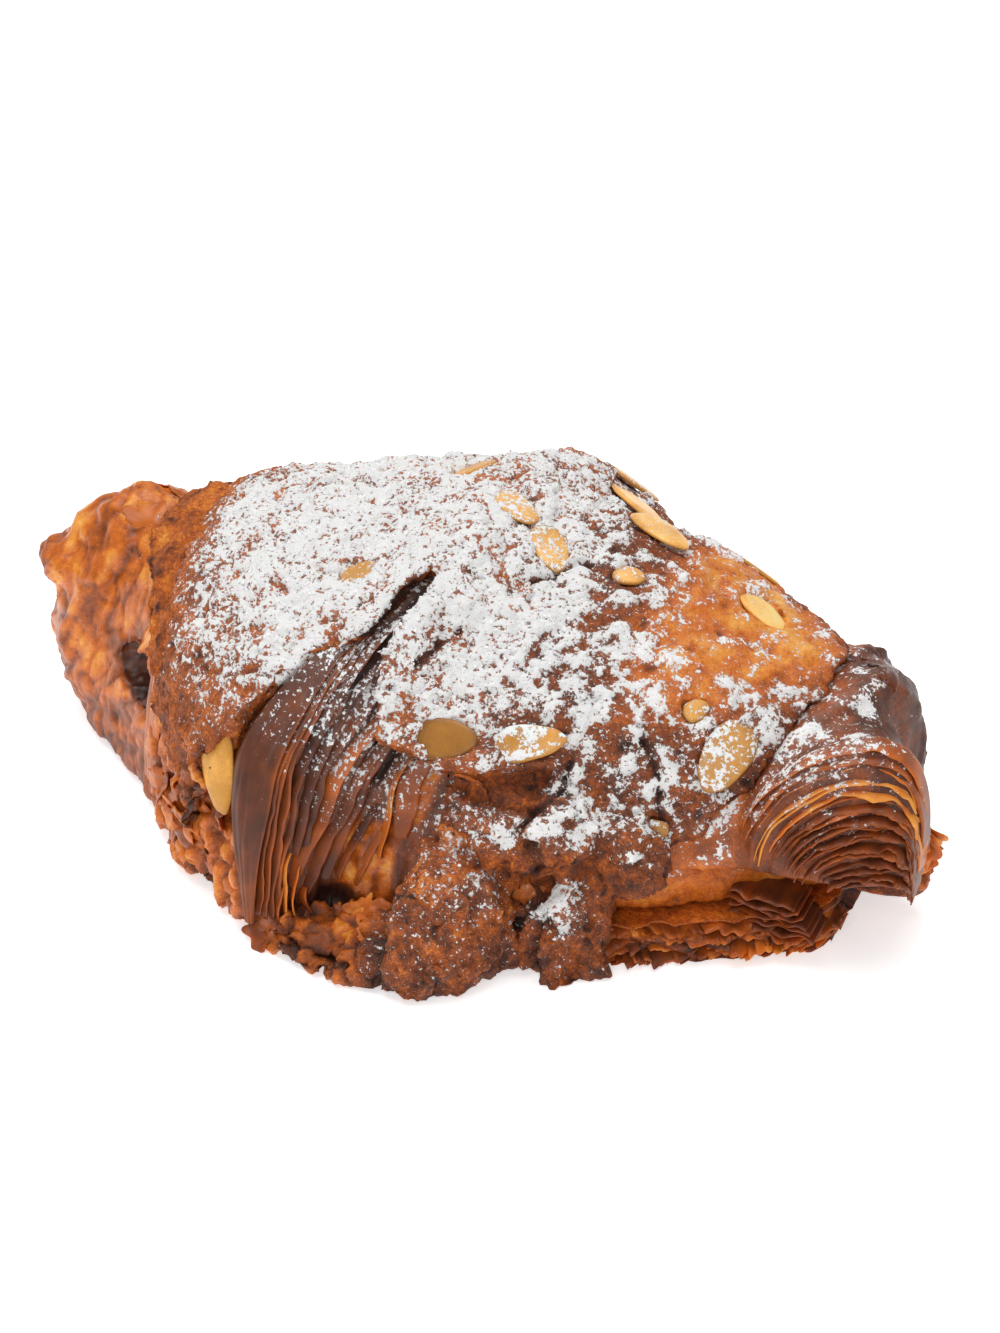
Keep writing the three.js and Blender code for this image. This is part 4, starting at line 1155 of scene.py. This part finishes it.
class CROISSANT_OT_ridge(Operator):
    """Smooth band and thin sheets whose edges climb the front"""

    bl_idname = "croissant.ridge"
    bl_label = "Ridge Sheets"

    def execute(self, context):
        thick = context.scene.croissant.sizes.sheet_thick
        sheets = Sheets()
        on_band = self.band(sheets, thick)
        for number, row in enumerate(RIDGE_EDGES):
            self.edge(sheets, thick, number, *row)
        mesh = sheets.mesh("ridge_sheets")
        share = np.full(len(mesh.vertices), 0.5)
        share[:len(on_band)] = on_band
        sugared(mesh, share)
        material = food_material(
            "Dark Sheets", roughness=0.45, grain_mm=0.8, grain_depth=0.25, soft=0.2, coat=0.1,
        )
        mesh.materials.append(material)
        place("ridge_sheets", mesh, "upper_pastry")
        return {"FINISHED"}

    def band(self, sheets, thick):
        """Adds the smooth band. Returns the share of sugar on its points."""
        u, v = shares(120, 40)
        angle = lerp(BAND_EDGES[0, 0], BAND_EDGES[-1, 0], u) + 0 * v
        left, right = curve(BAND_EDGES, angle)
        strand = joined(v * 9, u * 6)
        streak = 0.2 * noise(strand, 1.5, 71) + 0.08 * noise(strand, 0.6, 70)
        rise = lerp(-0.7, 0.8, smooth(0.0, 0.2, v)) + 0.4 * np.sin(np.pi * v) + streak
        rise -= 3.0 * smooth(0.84, 0.96, angle)
        grid = skin(RIDGE + lerp(left, right, v), angle, rise, WRAP_PROUD + BAND_PROUD)
        rim = smooth(0.93, 1.0, v) + 0.4 * fade(0.0, 0.1, v)
        tone = 0.82 + 0.05 * noise(grid, 3.0, 72) - 0.16 * (fade(0.0, 0.25, u) + streak + rim)
        sheets.add(grid, thick, tone)
        return np.tile(lerp(0.35, 1.3, smooth(0.8, 0.97, angle)).ravel(), 2)

    def edge(self, sheets, thick, number, low, foot, high, head, wide, stand, bake):
        """Adds a sheet whose edge climbs beside the band."""
        u, v = shares(120, 9)
        seed = 80 + 5 * number
        angle = lerp(low, high, u) + 0 * v
        strand = joined(u * (high - low) * 18, number * 3.7)
        ends = np.sin(np.pi * u) ** 0.5
        wobble = 0.4 * noise(strand, 2.6, seed) + 0.15 * noise(strand, 0.7, seed + 1)
        edge = curve(BAND_EDGES, angle)[1] + lerp(foot, head, u) + wobble
        station = RIDGE + edge + (v - 1) * wide * (0.25 + 0.75 * ends)
        proud = wrap(RIDGE + edge - 0.3) + (1 - v) * 0.55 * wide * LAYER_FALL
        lift = lerp(-0.9, stand * ends * (1 + 0.5 * noise(strand, 1.7, seed + 2)), v)
        pale = 0.16 if number < PALE_EDGES else 0.05
        tone = bake + 0.2 * noise(strand, 2.2, seed + 3) - pale * smooth(0.8, 1.0, v)
        sheets.add(skin(station, angle, lift, proud), thick * 0.85, np.clip(tone, 0.25, 0.95))


class CROISSANT_OT_horn(Operator):
    """Thin sheets nested inside the horn"""

    bl_idname = "croissant.horn"
    bl_label = "Horn Sheets"

    def execute(self, context):
        thick = context.scene.croissant.sizes.sheet_thick
        sheets = Sheets()
        rng = np.random.default_rng(HORN_SEED)
        u, v = shares(140, 10)
        for k, (share, forward, bake) in enumerate(HORN_EDGES):
            strand = joined(u * 16, k * 4.3)
            start, end = 0.02 + 0.1 * rng.random() ** 2, 0.98 - 0.1 * rng.random() ** 2
            angle = lerp(start, end, u) * np.pi + 0 * v
            reach = forward * (0.85 + 0.55 * noise(strand, 2.6, 140 + k) + 0.2 * noise(strand, 0.7, 160 + k))
            out = 0.3 * noise(strand, 3.0, 180 + k) + 0.3 * v * noise(strand, 1.4, 200 + k)
            sway = 0.03 * noise(strand, 3.4, 220 + k) + 0.012 * noise(strand, 1.2, 225 + k)
            grid = horn_point(share + sway * np.sin(angle) + 0.035 * v, angle, lerp(-3.0, reach, v), out)
            tone = bake + 0.1 * noise(strand, 1.3, 240 + k) - 0.14 * v**3 + 0.06 * (1 - np.sin(angle))
            sheets.add(grid, thick * rng.uniform(0.8, 1.7), np.clip(tone, 0.2, 1))
        mesh = sheets.mesh("horn_sheets")
        sugared(mesh, 1.0)
        mesh.materials.append(bpy.data.materials["Dark Sheets"])
        place("horn_sheets", mesh, "upper_pastry")
        return {"FINISHED"}


PLUMB_TOP = 90  # height from which plumb lines fall
PATCH_STEEPEST = 0.25  # least upward part of the normal where a torn sheet lies
PATCH_SEARCH = 4 * MM  # how far over and under it the skin is looked for


def hull_of(piece):
    """A finished piece's surface, for casting rays on."""
    return BVHTree.FromObject(bpy.data.objects[piece], bpy.context.evaluated_depsgraph_get())


def plumb(hull, x, y):
    """Where a plumb line at x, y meets a surface, in the frame, and the surface's normal there."""
    above = Vector((x + SHIFT[0], y + SHIFT[1], PLUMB_TOP)) * MM
    return hull.ray_cast(above, Vector((0, 0, -1)))[:2]


class CROISSANT_OT_flakes(Operator):
    """Ragged flakes round the lower half and loose sheets on the upper half"""

    bl_idname = "croissant.flakes"
    bl_label = "Flakes"

    def execute(self, context):
        thick = context.scene.croissant.sizes.sheet_thick
        sheets = Sheets()
        rng = np.random.default_rng(FLAKE_SEED)
        self.base_flakes(sheets, thick, rng)
        self.skirt_leaves(sheets, thick)
        self.horn_tatters(sheets, thick)
        self.wrap_edges(sheets, thick)
        self.loose_sheets(sheets, rng)
        self.slope_scraps(sheets, rng)
        self.lump_scraps(sheets, rng)
        mesh = sheets.mesh("flakes")
        paint(mesh, gloss=0.5)
        sugared(mesh, 0.5)
        material = food_material("Flakes", roughness=0.42, grain_mm=0.8, grain_depth=0.3, soft=0.3, coat=0.1)
        mesh.materials.append(material)
        place("flakes", mesh, "lower_pastry")
        return {"FINISHED"}

    def base_flakes(self, sheets, thick, rng):
        """Rows of ragged flakes round the lower half."""
        u, v = shares(40, 8)
        starts = [(x, side, z) for side, levels, span in FLAKE_ROWS for z in levels for x in np.arange(*span)]
        for k, (start, side, level) in enumerate(starts):
            length = rng.uniform(7, 17)
            tilt = rng.uniform(-1.6, 1.2)
            x = start + rng.uniform(-2, 2) + length * (u - 0.4) + 0 * v
            x = np.clip(x, BASE_ENDS[0] + 4, BASE_ENDS[1] - 1.5)
            strand = joined(u * length, k * 3.3)
            teeth = 0.75 + 0.5 * noise(strand, 2.8, 300 + k)
            teeth += (0.25 - 0.15 * side) * noise(strand, 0.9, 340 + k)
            fade_out = np.minimum(1, 5 * np.minimum(u, 1 - u) + 0.05)
            reach = lerp(-3.4, rng.uniform(-0.4, 2.2) + 0.5 + 0.5 * side, np.clip(teeth, 0.1, 1.2) * fade_out)
            crumple = joined(u * length, v * 3, k * 2.1)
            frill = (0.7 * noise(crumple, 3.6, 380 + k) + 0.3 * noise(crumple, 1.4, 390 + k)) * v
            y = base_rim(x, side) + side * lerp(-4.4, reach, v) + 0.6 * frill
            drop = level + tilt * (u - 0.5) + lerp(0.8, -rng.uniform(0.2, 1.4), v**1.3)
            skew = rng.uniform(-0.3, 1.0) * 3.0 * v**1.5
            grid = joined(x + skew, y, np.maximum(drop + frill, 0.2))
            tone = rng.uniform(0.56, 0.86) - 0.05 * (side > 0) + 0.18 * noise(grid, 2.5, 400) - 0.16 * v**2
            sheets.add(grid, thick * 0.8, np.clip(tone, 0.2, 0.9))

    def skirt_leaves(self, sheets, thick):
        """A stack of leaves that stick out under the horn."""
        u, v = shares(40, 8)
        left, front, low = SKIRT_LEAF
        for k in range(SKIRT_LEAVES):
            strand = joined(u * 12, k * 2.9)
            x = lerp(left, SKIRT_LEAF_END - 0.7 * k, u)
            y = front - 0.12 * (x - left) + lerp(3, -5.5 - 1.2 * noise(strand, 3, 440 + k), v)
            z = low + SKIRT_LEAF_STEP * k + 0.9 * noise(strand, 2.4, 430 + k) + 0.3 * v
            tone = 0.8 + 0.12 * noise(strand, 1.5, 450 + k) - 0.14 * v**4
            sheets.add(joined(x, y, z), thick, np.clip(tone, 0, 1))

    def horn_tatters(self, sheets, thick):
        """Torn sheets that stand out from the horn's outer side."""
        u, v = shares(40, 8)
        right, front, low = TATTER
        bulge = np.sin(np.pi * np.clip(u, 0.05, 0.95)) ** 0.6
        for k in range(HORN_TATTERS):
            strand = joined(u * 11, k * 3.1)
            ragged = 2.0 * noise(strand, 2.8, 480 + k) + 1.0 * noise(strand, 1.0, 490 + k)
            x = lerp(right, right + (TATTER_REACH - 0.2 * k + ragged) * bulge, v)
            y = front + 2.0 * k + (1.5 * noise(strand, 3.0, 500 + k) - 1.0) * v
            z = lerp(low - 0.5 * k, TATTER_TOP - 1.3 * k, u) + 0.8 * noise(strand, 2.0, 510 + k) * v
            grid = joined(x, y, z)
            sheets.add(grid, thick, np.clip(0.58 + 0.2 * noise(grid, 2.0, 520) - 0.16 * v**3, 0, 1))

    def wrap_edges(self, sheets, thick):
        """Edges of the wraps beside the left lobe."""
        u, v = shares(40, 8)
        for k in range(WRAP_SHEETS):
            strand = joined(u * 20, k * 2.9)
            angle = lerp(0.1, 1.3 - 0.3 * k, u)
            wobble = 0.7 * noise(strand, 3, 460 + k) + 0.3 * noise(strand, 1, 465 + k)
            edge = LEFT_EDGE - 0.6 + 1.7 * k + wobble
            rise = lerp(-0.5, 0.7 - 0.1 * k + 0.4 * noise(strand, 2.2, 470 + k), v)
            tone = np.clip(0.46 + 0.14 * noise(strand, 2, 475 + k), 0, 1)
            sheets.add(skin(edge + 4 * (1 - v), angle, rise, WRAP_PROUD), thick, tone)

    def loose_sheets(self, sheets, rng):
        """Torn sheets that lie on the left lobe and round the horn."""
        hull = hull_of("pastry_top")
        patches = [
            (rng.uniform(*across), rng.uniform(*along), rng.uniform(*sizes), bake)
            for count, across, along, sizes, bake in LOOSE_SHEETS for _ in range(count)
        ]
        for k, (x, y, size, bake) in enumerate(patches):
            self.patch(sheets, hull, x, y, size, rng.uniform(0, math.tau), k, bake)

    def slope_scraps(self, sheets, rng):
        """Scraps on the torn slope beside the ridge."""
        count, along, around, sizes, bakes = SLOPE_SCRAPS
        for _ in range(count):
            station, angle = rng.uniform(*along), rng.uniform(*around)
            spot = skin(station, angle)
            outward = np.cross(skin(station + 1, angle) - spot, skin(station, angle + 0.03) - spot)
            self.scrap(sheets, spot, outward, rng.uniform(*sizes), rng.uniform(*bakes), rng)

    def lump_scraps(self, sheets, rng):
        """Scraps at the foot of the lumps in front."""
        hull = hull_of("frangipane_crust")
        count, across, along, sizes, bakes = LUMP_SCRAPS
        for _ in range(count):
            ground, outward = plumb(hull, rng.uniform(*across), rng.uniform(*along))
            size, bake = rng.uniform(*sizes), rng.uniform(*bakes)
            if ground is not None and ground.z < LUMP_FOOT * MM:
                self.scrap(sheets, np.array(ground) / MM - SHIFT, np.array(outward), size, bake, rng)

    def scrap(self, sheets, spot, outward, size, bake, rng):
        """A crumpled scrap of a sheet that sticks to the surface at a slant."""
        outward = outward / np.linalg.norm(outward)
        side = np.cross(outward, rng.normal(size=3))
        side /= np.linalg.norm(side)
        slant, seed = rng.uniform(-0.35, 0.35), rng.integers(1000)
        ahead = np.cross(side, outward) * math.cos(slant) + outward * math.sin(slant)
        up = np.cross(ahead, side)
        a = np.linspace(-1, 1, 21)[:, None]
        b = np.linspace(-1, 1, 15)[None, :]
        turn = np.arctan2(a, b)
        ragged = 0.85 + 0.25 * np.sin(2 * turn + seed) + 0.14 * np.sin(5 * turn - seed)
        ragged = size * (ragged + 0.1 * np.sin(9 * turn + 2 * seed)) / np.maximum(1, np.hypot(a, b))
        flat = joined(a * ragged, 0.7 * b * ragged)
        crumple = 0.7 * size * noise(flat, 1.4 * size, 500 + seed) + 0.4 * noise(flat, 1.4, 510 + seed)
        grid = spot - 0.1 * outward + flat[..., :1] * ahead + flat[..., 1:2] * side + crumple[..., None] * up
        grid[..., 2] = np.maximum(grid[..., 2], 0.25)
        sheets.add(grid, SCRAP_THICK, np.clip(bake + 0.2 * noise(grid, 2.2, 520), 0, 1))

    def patch(self, sheets, hull, x, y, size, turn, seed, bake):
        """A thin torn sheet that lies on the skin, one edge curling up."""
        middle, normal = plumb(hull, x, y)
        if middle is None or normal.z < PATCH_STEEPEST:
            return
        side = normal.cross(Vector((math.cos(turn), math.sin(turn), 0.3))).normalized()
        ahead = side.cross(normal)
        steps = 16
        grid = np.empty((steps, steps, 3))
        for i, j in product(range(steps), repeat=2):
            a, b = 2 * i / (steps - 1) - 1, 2 * j / (steps - 1) - 1
            around = math.atan2(a, b)
            ragged = 0.9 + 0.2 * math.sin(3 * around + seed) + 0.1 * math.sin(7 * around - seed)
            ragged += 0.07 * math.sin(13 * around)
            offset = (ahead * a * 0.6 + side * b) * size * (MM / 2) * ragged / max(1.0, math.hypot(a, b))
            ground = hull.ray_cast(middle + offset + normal * PATCH_SEARCH, -normal, 2 * PATCH_SEARCH)[0]
            if ground is None:
                return
            curl = (0.05 + 0.4 * max(0.0, a) ** 2) * MM
            grid[i, j] = np.array(ground + normal * curl) / MM - SHIFT
        sheets.add(grid, LOOSE_THICK, np.clip(bake + 0.12 * noise(grid, 3, 420 + seed), 0, 1))


class CROISSANT_OT_almonds(Operator):
    """Flaked almonds, rounded and slightly bent"""

    bl_idname = "croissant.almonds"
    bl_label = "Almond Slices"

    def execute(self, context):
        material = food_material(
            "Almond", roughness=0.38, grain_mm=1.5, grain_depth=0.3, soft=0.35, coat=0.1,
            colours=("Almond Colour", ALMOND_BAKES),
        )
        for k, node in enumerate(slice_nodes()):
            mesh = self.slice(node, k)
            sugared(mesh, ALMOND_TONES[k][1])
            mesh.materials.append(material)
            place(node.replace("almond_slice", "almond"), mesh, "almond_slice", [node])
        return {"FINISHED"}

    def slice(self, node, seed):
        """An almond slice, egg-shaped and bent, from rings on its upper and lower side."""
        middle, (along, wide, up), size = slice_frame(node)
        middle = middle - up * SLICE_SUNK
        rings, steps = 9, 48
        turn = np.linspace(0, math.tau, steps, endpoint=False)
        points, faces = [], []
        ragged = 1 + 0.02 * np.sin(3 * turn + seed) + 0.015 * np.sin(7 * turn - 2 * seed)
        full = [ragged * np.sign(part) * np.abs(part) ** 0.9 for part in (np.cos(turn), np.sin(turn))]
        for side in (1, -1):
            for ring in range(rings):
                r = math.sin(math.pi / 2 * (ring + 0.02) / (rings - 1 + 0.02))
                a = r * full[0]
                b = r * full[1] * (1 - 0.26 * np.cos(turn)) / 1.05
                thick = (1 - r**8) ** 0.5 if ring < rings - 1 else 0.0
                bend = 0.22 * a * b + 0.3 * (a * a - 0.4) * math.sin(seed)
                c = side * thick * (0.92 + 0.08 * np.cos(2 * b + seed)) + bend
                flat = middle + np.outer(a * size[0], along) + np.outer(b * size[1], wide)
                points.append(flat + np.outer(c * size[2], up))
        index = np.arange(2 * rings * steps).reshape(2, rings, steps)
        mesh = bpy.data.meshes.new(node)
        for side in (0, 1):
            for ring in range(rings - 1):
                inner, outer = index[side, ring], index[side, ring + 1]
                quad = np.stack((inner, outer, np.roll(outer, -1), np.roll(inner, -1)), -1)
                faces += (quad if side == 0 else quad[:, ::-1]).tolist()
            faces.append(index[side, 0].tolist() if side == 0 else index[side, 0][::-1].tolist())
        mesh.from_pydata(np.zeros((2 * rings * steps, 3)), [], faces)
        set_points(mesh, np.concatenate(points))
        work = bmesh.new()
        work.from_mesh(mesh)
        bmesh.ops.remove_doubles(work, verts=work.verts, dist=SLICE_WELD)
        bmesh.ops.recalc_face_normals(work, faces=work.faces)
        work.to_mesh(mesh)
        work.free()
        points = points_of(mesh)
        local = points - middle
        rim = np.sqrt(((local @ along) / size[0]) ** 2 + ((local @ wide) / size[1]) ** 2)
        tone = ALMOND_TONES[seed][0] + 0.12 * smooth(0.75, 1.0, rim) + 0.07 * noise(points, 4, 440 + seed)
        paint(mesh, bake=tone, grain=0.12, gloss=0.4)
        return mesh


GRAIN_UNEVEN = (0.6, 1.2)  # span of a grain's size along each axis
GRAIN_BAKES = (0.42, 0.74)
GRAIN_POWER = 2.5  # how much rarer large grains are
GRAIN_LOWEST = 1.0  # height below which no grain lies
LEAST_DENSITY = 0.02


def scatter_tree(name, material):
    """Grains scattered over a surface by the density stored on it."""
    tree = bpy.data.node_groups.new(name, "GeometryNodeTree")
    face = tree.interface
    face.new_socket("Geometry", in_out="INPUT", socket_type="NodeSocketGeometry")
    for label in ("Density", "Smallest", "Largest", "Flat"):
        face.new_socket(label, in_out="INPUT", socket_type="NodeSocketFloat")
    face.new_socket("Seed", in_out="INPUT", socket_type="NodeSocketInt")
    face.new_socket("Geometry", in_out="OUTPUT", socket_type="NodeSocketGeometry")
    given = tree.nodes.new("NodeGroupInput").outputs
    amount = wire(tree, "GeometryNodeInputNamedAttribute", {"Name": "density"}, data_type="FLOAT")
    spots = wire(tree, "GeometryNodeDistributePointsOnFaces", {
        "Mesh": given["Geometry"], "Seed": given["Seed"],
        "Density": maths(tree, "MULTIPLY", amount.outputs["Attribute"], given["Density"]),
    })
    ball = wire(tree, "GeometryNodeMeshIcoSphere", {"Radius": 1.0, "Subdivisions": 1})
    chance = wire(tree, "FunctionNodeRandomValue", {"Seed": given["Seed"]}, data_type="FLOAT").outputs[1]
    size = wire(tree, "ShaderNodeMapRange", {
        "Value": maths(tree, "POWER", chance, GRAIN_POWER),
        "To Min": given["Smallest"], "To Max": given["Largest"],
    })
    uneven = wire(tree, "FunctionNodeRandomValue", {
        "Min": (GRAIN_UNEVEN[0],) * 3, "Max": (GRAIN_UNEVEN[1],) * 3, "Seed": given["Seed"],
    }, data_type="FLOAT_VECTOR")
    thin = wire(tree, "ShaderNodeCombineXYZ", {"X": 1.0, "Y": 1.0, "Z": given["Flat"]})
    shape = wire(tree, "ShaderNodeVectorMath", {
        0: uneven.outputs[0], 1: thin.outputs[0],
    }, operation="MULTIPLY")
    scale = wire(tree, "ShaderNodeVectorMath", {
        0: shape.outputs[0], "Scale": size.outputs["Result"],
    }, operation="SCALE")
    turn = wire(tree, "FunctionNodeRandomValue", {
        "Max": (math.tau,) * 3, "Seed": given["Seed"],
    }, data_type="FLOAT_VECTOR")
    grains = wire(tree, "GeometryNodeInstanceOnPoints", {
        "Points": spots.outputs["Points"], "Instance": ball.outputs["Mesh"],
        "Rotation": turn.outputs[0], "Scale": scale.outputs[0],
    })
    tone = wire(tree, "FunctionNodeRandomValue", {
        "Min": GRAIN_BAKES[0], "Max": GRAIN_BAKES[1], "Seed": given["Seed"],
    }, data_type="FLOAT").outputs[1]
    toned = wire(tree, "GeometryNodeStoreNamedAttribute", {
        "Geometry": grains.outputs["Instances"], "Name": "bake", "Value": tone,
    }, data_type="FLOAT", domain="INSTANCE")
    real = wire(tree, "GeometryNodeRealizeInstances", {"Geometry": toned.outputs["Geometry"]})
    dressed = wire(tree, "GeometryNodeSetMaterial", {
        "Geometry": real.outputs["Geometry"], "Material": material,
    })
    wire(tree, "NodeGroupOutput", {"Geometry": dressed.outputs["Geometry"]})
    return tree


def scattered(name, sources, density_of, material, given):
    """A mesh of grains scattered over finished pieces, all of whose faces have four corners."""
    points, faces, density, count = [], [], [], 0
    for source in sources:
        mesh = bpy.data.objects[source].data
        corners = np.empty(len(mesh.polygons) * 4, np.int32)
        mesh.polygons.foreach_get("vertices", corners)
        corners = corners.reshape(-1, 4)
        where = points_of(mesh)
        sugar = np.empty(len(where), np.float32)
        mesh.attributes["sugar"].data.foreach_get("value", sugar)
        wanted = density_of(where, sugar) * (where[:, 2] > GRAIN_LOWEST)
        points.append(where)
        faces.append(corners[wanted[corners].mean(1) > LEAST_DENSITY] + count)
        density.append(wanted)
        count += len(where)
    mesh = bpy.data.meshes.new("work")
    mesh.from_pydata(np.zeros((count, 3)), [], np.concatenate(faces).tolist())
    set_points(mesh, np.concatenate(points))
    paint(mesh, density=np.concatenate(density))
    source = bpy.data.objects.new("work", mesh)
    bpy.context.scene.collection.objects.link(source)
    scatter = source.modifiers.new("Scatter", "NODES")
    scatter.node_group = scatter_tree(name, material)
    values = {
        "Density": given.density, "Smallest": given.smallest, "Largest": given.largest,
        "Flat": given.flat, "Seed": given.seed,
    }
    for socket in scatter.node_group.interface.items_tree:
        if socket.in_out == "INPUT" and socket.name in values:
            scatter[socket.identifier] = values[socket.name]
    grains = bpy.data.meshes.new_from_object(source.evaluated_get(bpy.context.evaluated_depsgraph_get()))
    bpy.data.objects.remove(source)
    bpy.data.meshes.remove(mesh)
    return grains


class CROISSANT_OT_crumbs(Operator):
    """Crumbs of baked almond cream on the lumps in front"""

    bl_idname = "croissant.crumbs"
    bl_label = "Crumbs"

    def execute(self, context):
        def wanted(points, sugar):
            x, y, z = points.T
            lumps = fade(*LUMPS_BACK, y) * fade(*CRUMBS_TOP, z)
            caramel = lumps * fade(*CRUMBS_END, x)
            return 0.3 * (lumps + caramel) * smooth(-0.2, 0.6, noise(points, 3.0, 480))

        given = context.scene.croissant.crumbs
        material = food_material("Crumb", roughness=0.4, grain_mm=0.5, grain_depth=0.8, soft=0.2)
        grains = scattered("Scattered Crumbs", ("frangipane_crust",), wanted, material, given)
        paint(grains, grain=0.4, gloss=0.3)
        place("crumbs", grains, "almond_crust")
        return {"FINISHED"}


class CROISSANT_OT_sugar(Operator):
    """Loose grains and clumps of icing sugar"""

    bl_idname = "croissant.sugar"
    bl_label = "Icing Sugar"

    def execute(self, context):
        def wanted(points, sugar):
            return sugar**1.2 * smooth(-0.25, 0.5, noise(points, 1.6, 490) + sugar - 0.5)

        settings = context.scene.croissant
        material = plain_material("Sugar Grain", settings.colours.sugar, roughness=0.9, soft=0.2)
        sources = ("frangipane_crust", "pastry_top", "ridge_sheets", "horn_sheets")
        grains = scattered("Scattered Sugar", sources, wanted, material, settings.sugar)
        place("sugar_grains", grains, "almond_crust")
        return {"FINISHED"}


class CROISSANT_OT_stage(Operator):
    """Floor, light and camera"""

    bl_idname = "croissant.stage"
    bl_label = "Stage"

    def execute(self, context):
        scene = context.scene
        given = scene.croissant.stage
        self.floor(scene, given)
        world = bpy.data.worlds.new("Studio")
        world.use_nodes = True
        background = world.node_tree.nodes["Background"]
        background.inputs["Color"].default_value = (1.0, 1.0, 1.0, 1.0)
        background.inputs["Strength"].default_value = given.surround
        scene.world = world
        self.light(scene, "Key", given.key_place, given.key_size, given.key_power)
        self.light(scene, "Front", given.front_place, given.front_size, given.front_power)
        self.camera(scene, given)
        scene.view_settings.view_transform = "Standard"
        return {"FINISHED"}

    def floor(self, scene, given):
        """A white floor that glows a little."""
        half = given.floor_size / 2
        mesh = bpy.data.meshes.new("floor")
        corners = [(-half, -half, 0), (half, -half, 0), (half, half, 0), (-half, half, 0)]
        mesh.from_pydata(corners, [], [(0, 1, 2, 3)])
        mesh.materials.append(plain_material("Floor", scene.croissant.colours.floor, roughness=0.8))
        shader = mesh.materials[0].node_tree.nodes["Principled BSDF"]
        shader.inputs["Emission Color"].default_value = (1.0, 1.0, 1.0, 1.0)
        shader.inputs["Emission Strength"].default_value = given.floor_glow
        floor = bpy.data.objects.new("floor", mesh)
        scene.collection.objects.link(floor)

    def light(self, scene, name, spot, size, power):
        """A square light that faces the middle of the croissant's foot."""
        light = bpy.data.lights.new(name, "AREA")
        light.size = size
        light.energy = power
        lamp = bpy.data.objects.new(name, light)
        lamp.location = spot
        lamp.rotation_euler = (-Vector(spot)).to_track_quat("-Z", "Y").to_euler()
        scene.collection.objects.link(lamp)

    def camera(self, scene, given):
        """The camera, which looks down at the front."""
        lens = bpy.data.cameras.new("Camera")
        lens.lens = given.lens
        lens.sensor_width = given.sensor
        camera = bpy.data.objects.new("Camera", lens)
        a, e = given.azimuth, given.elevation
        back = Vector((math.sin(a) * math.cos(e), -math.cos(a) * math.cos(e), math.sin(e)))
        camera.location = Vector(given.target) + back * given.distance
        camera.rotation_euler = (-back).to_track_quat("-Z", "Y").to_euler()
        scene.collection.objects.link(camera)
        scene.camera = camera


STEPS = (
    CROISSANT_OT_top, CROISSANT_OT_base, CROISSANT_OT_cream, CROISSANT_OT_crust, CROISSANT_OT_ridge,
    CROISSANT_OT_horn, CROISSANT_OT_flakes, CROISSANT_OT_almonds, CROISSANT_OT_crumbs,
    CROISSANT_OT_sugar, CROISSANT_OT_stage,
)


class CROISSANT_PT_panel(Panel):
    """The steps that build the croissant"""

    bl_label = "Almond Croissant"
    bl_idname = "CROISSANT_PT_panel"
    bl_space_type = "VIEW_3D"
    bl_region_type = "UI"
    bl_category = "Croissant"

    def draw(self, context):
        for step in STEPS:
            self.layout.operator(step.bl_idname)


CLASSES = (
    CroissantSizes, CroissantColours, CroissantSugar, CroissantCrumbs, CroissantStage, CroissantSettings,
    *STEPS, CROISSANT_PT_panel,
)


def register():
    for kind in CLASSES:
        bpy.utils.register_class(kind)
    bpy.types.Scene.croissant = PointerProperty(type=CroissantSettings)


def unregister():
    del bpy.types.Scene.croissant
    for kind in reversed(CLASSES):
        bpy.utils.unregister_class(kind)


def main():
    register()
    for step in STEPS:
        family, name = step.bl_idname.split(".")
        getattr(getattr(bpy.ops, family), name)()


if __name__ == "__main__":
    main()
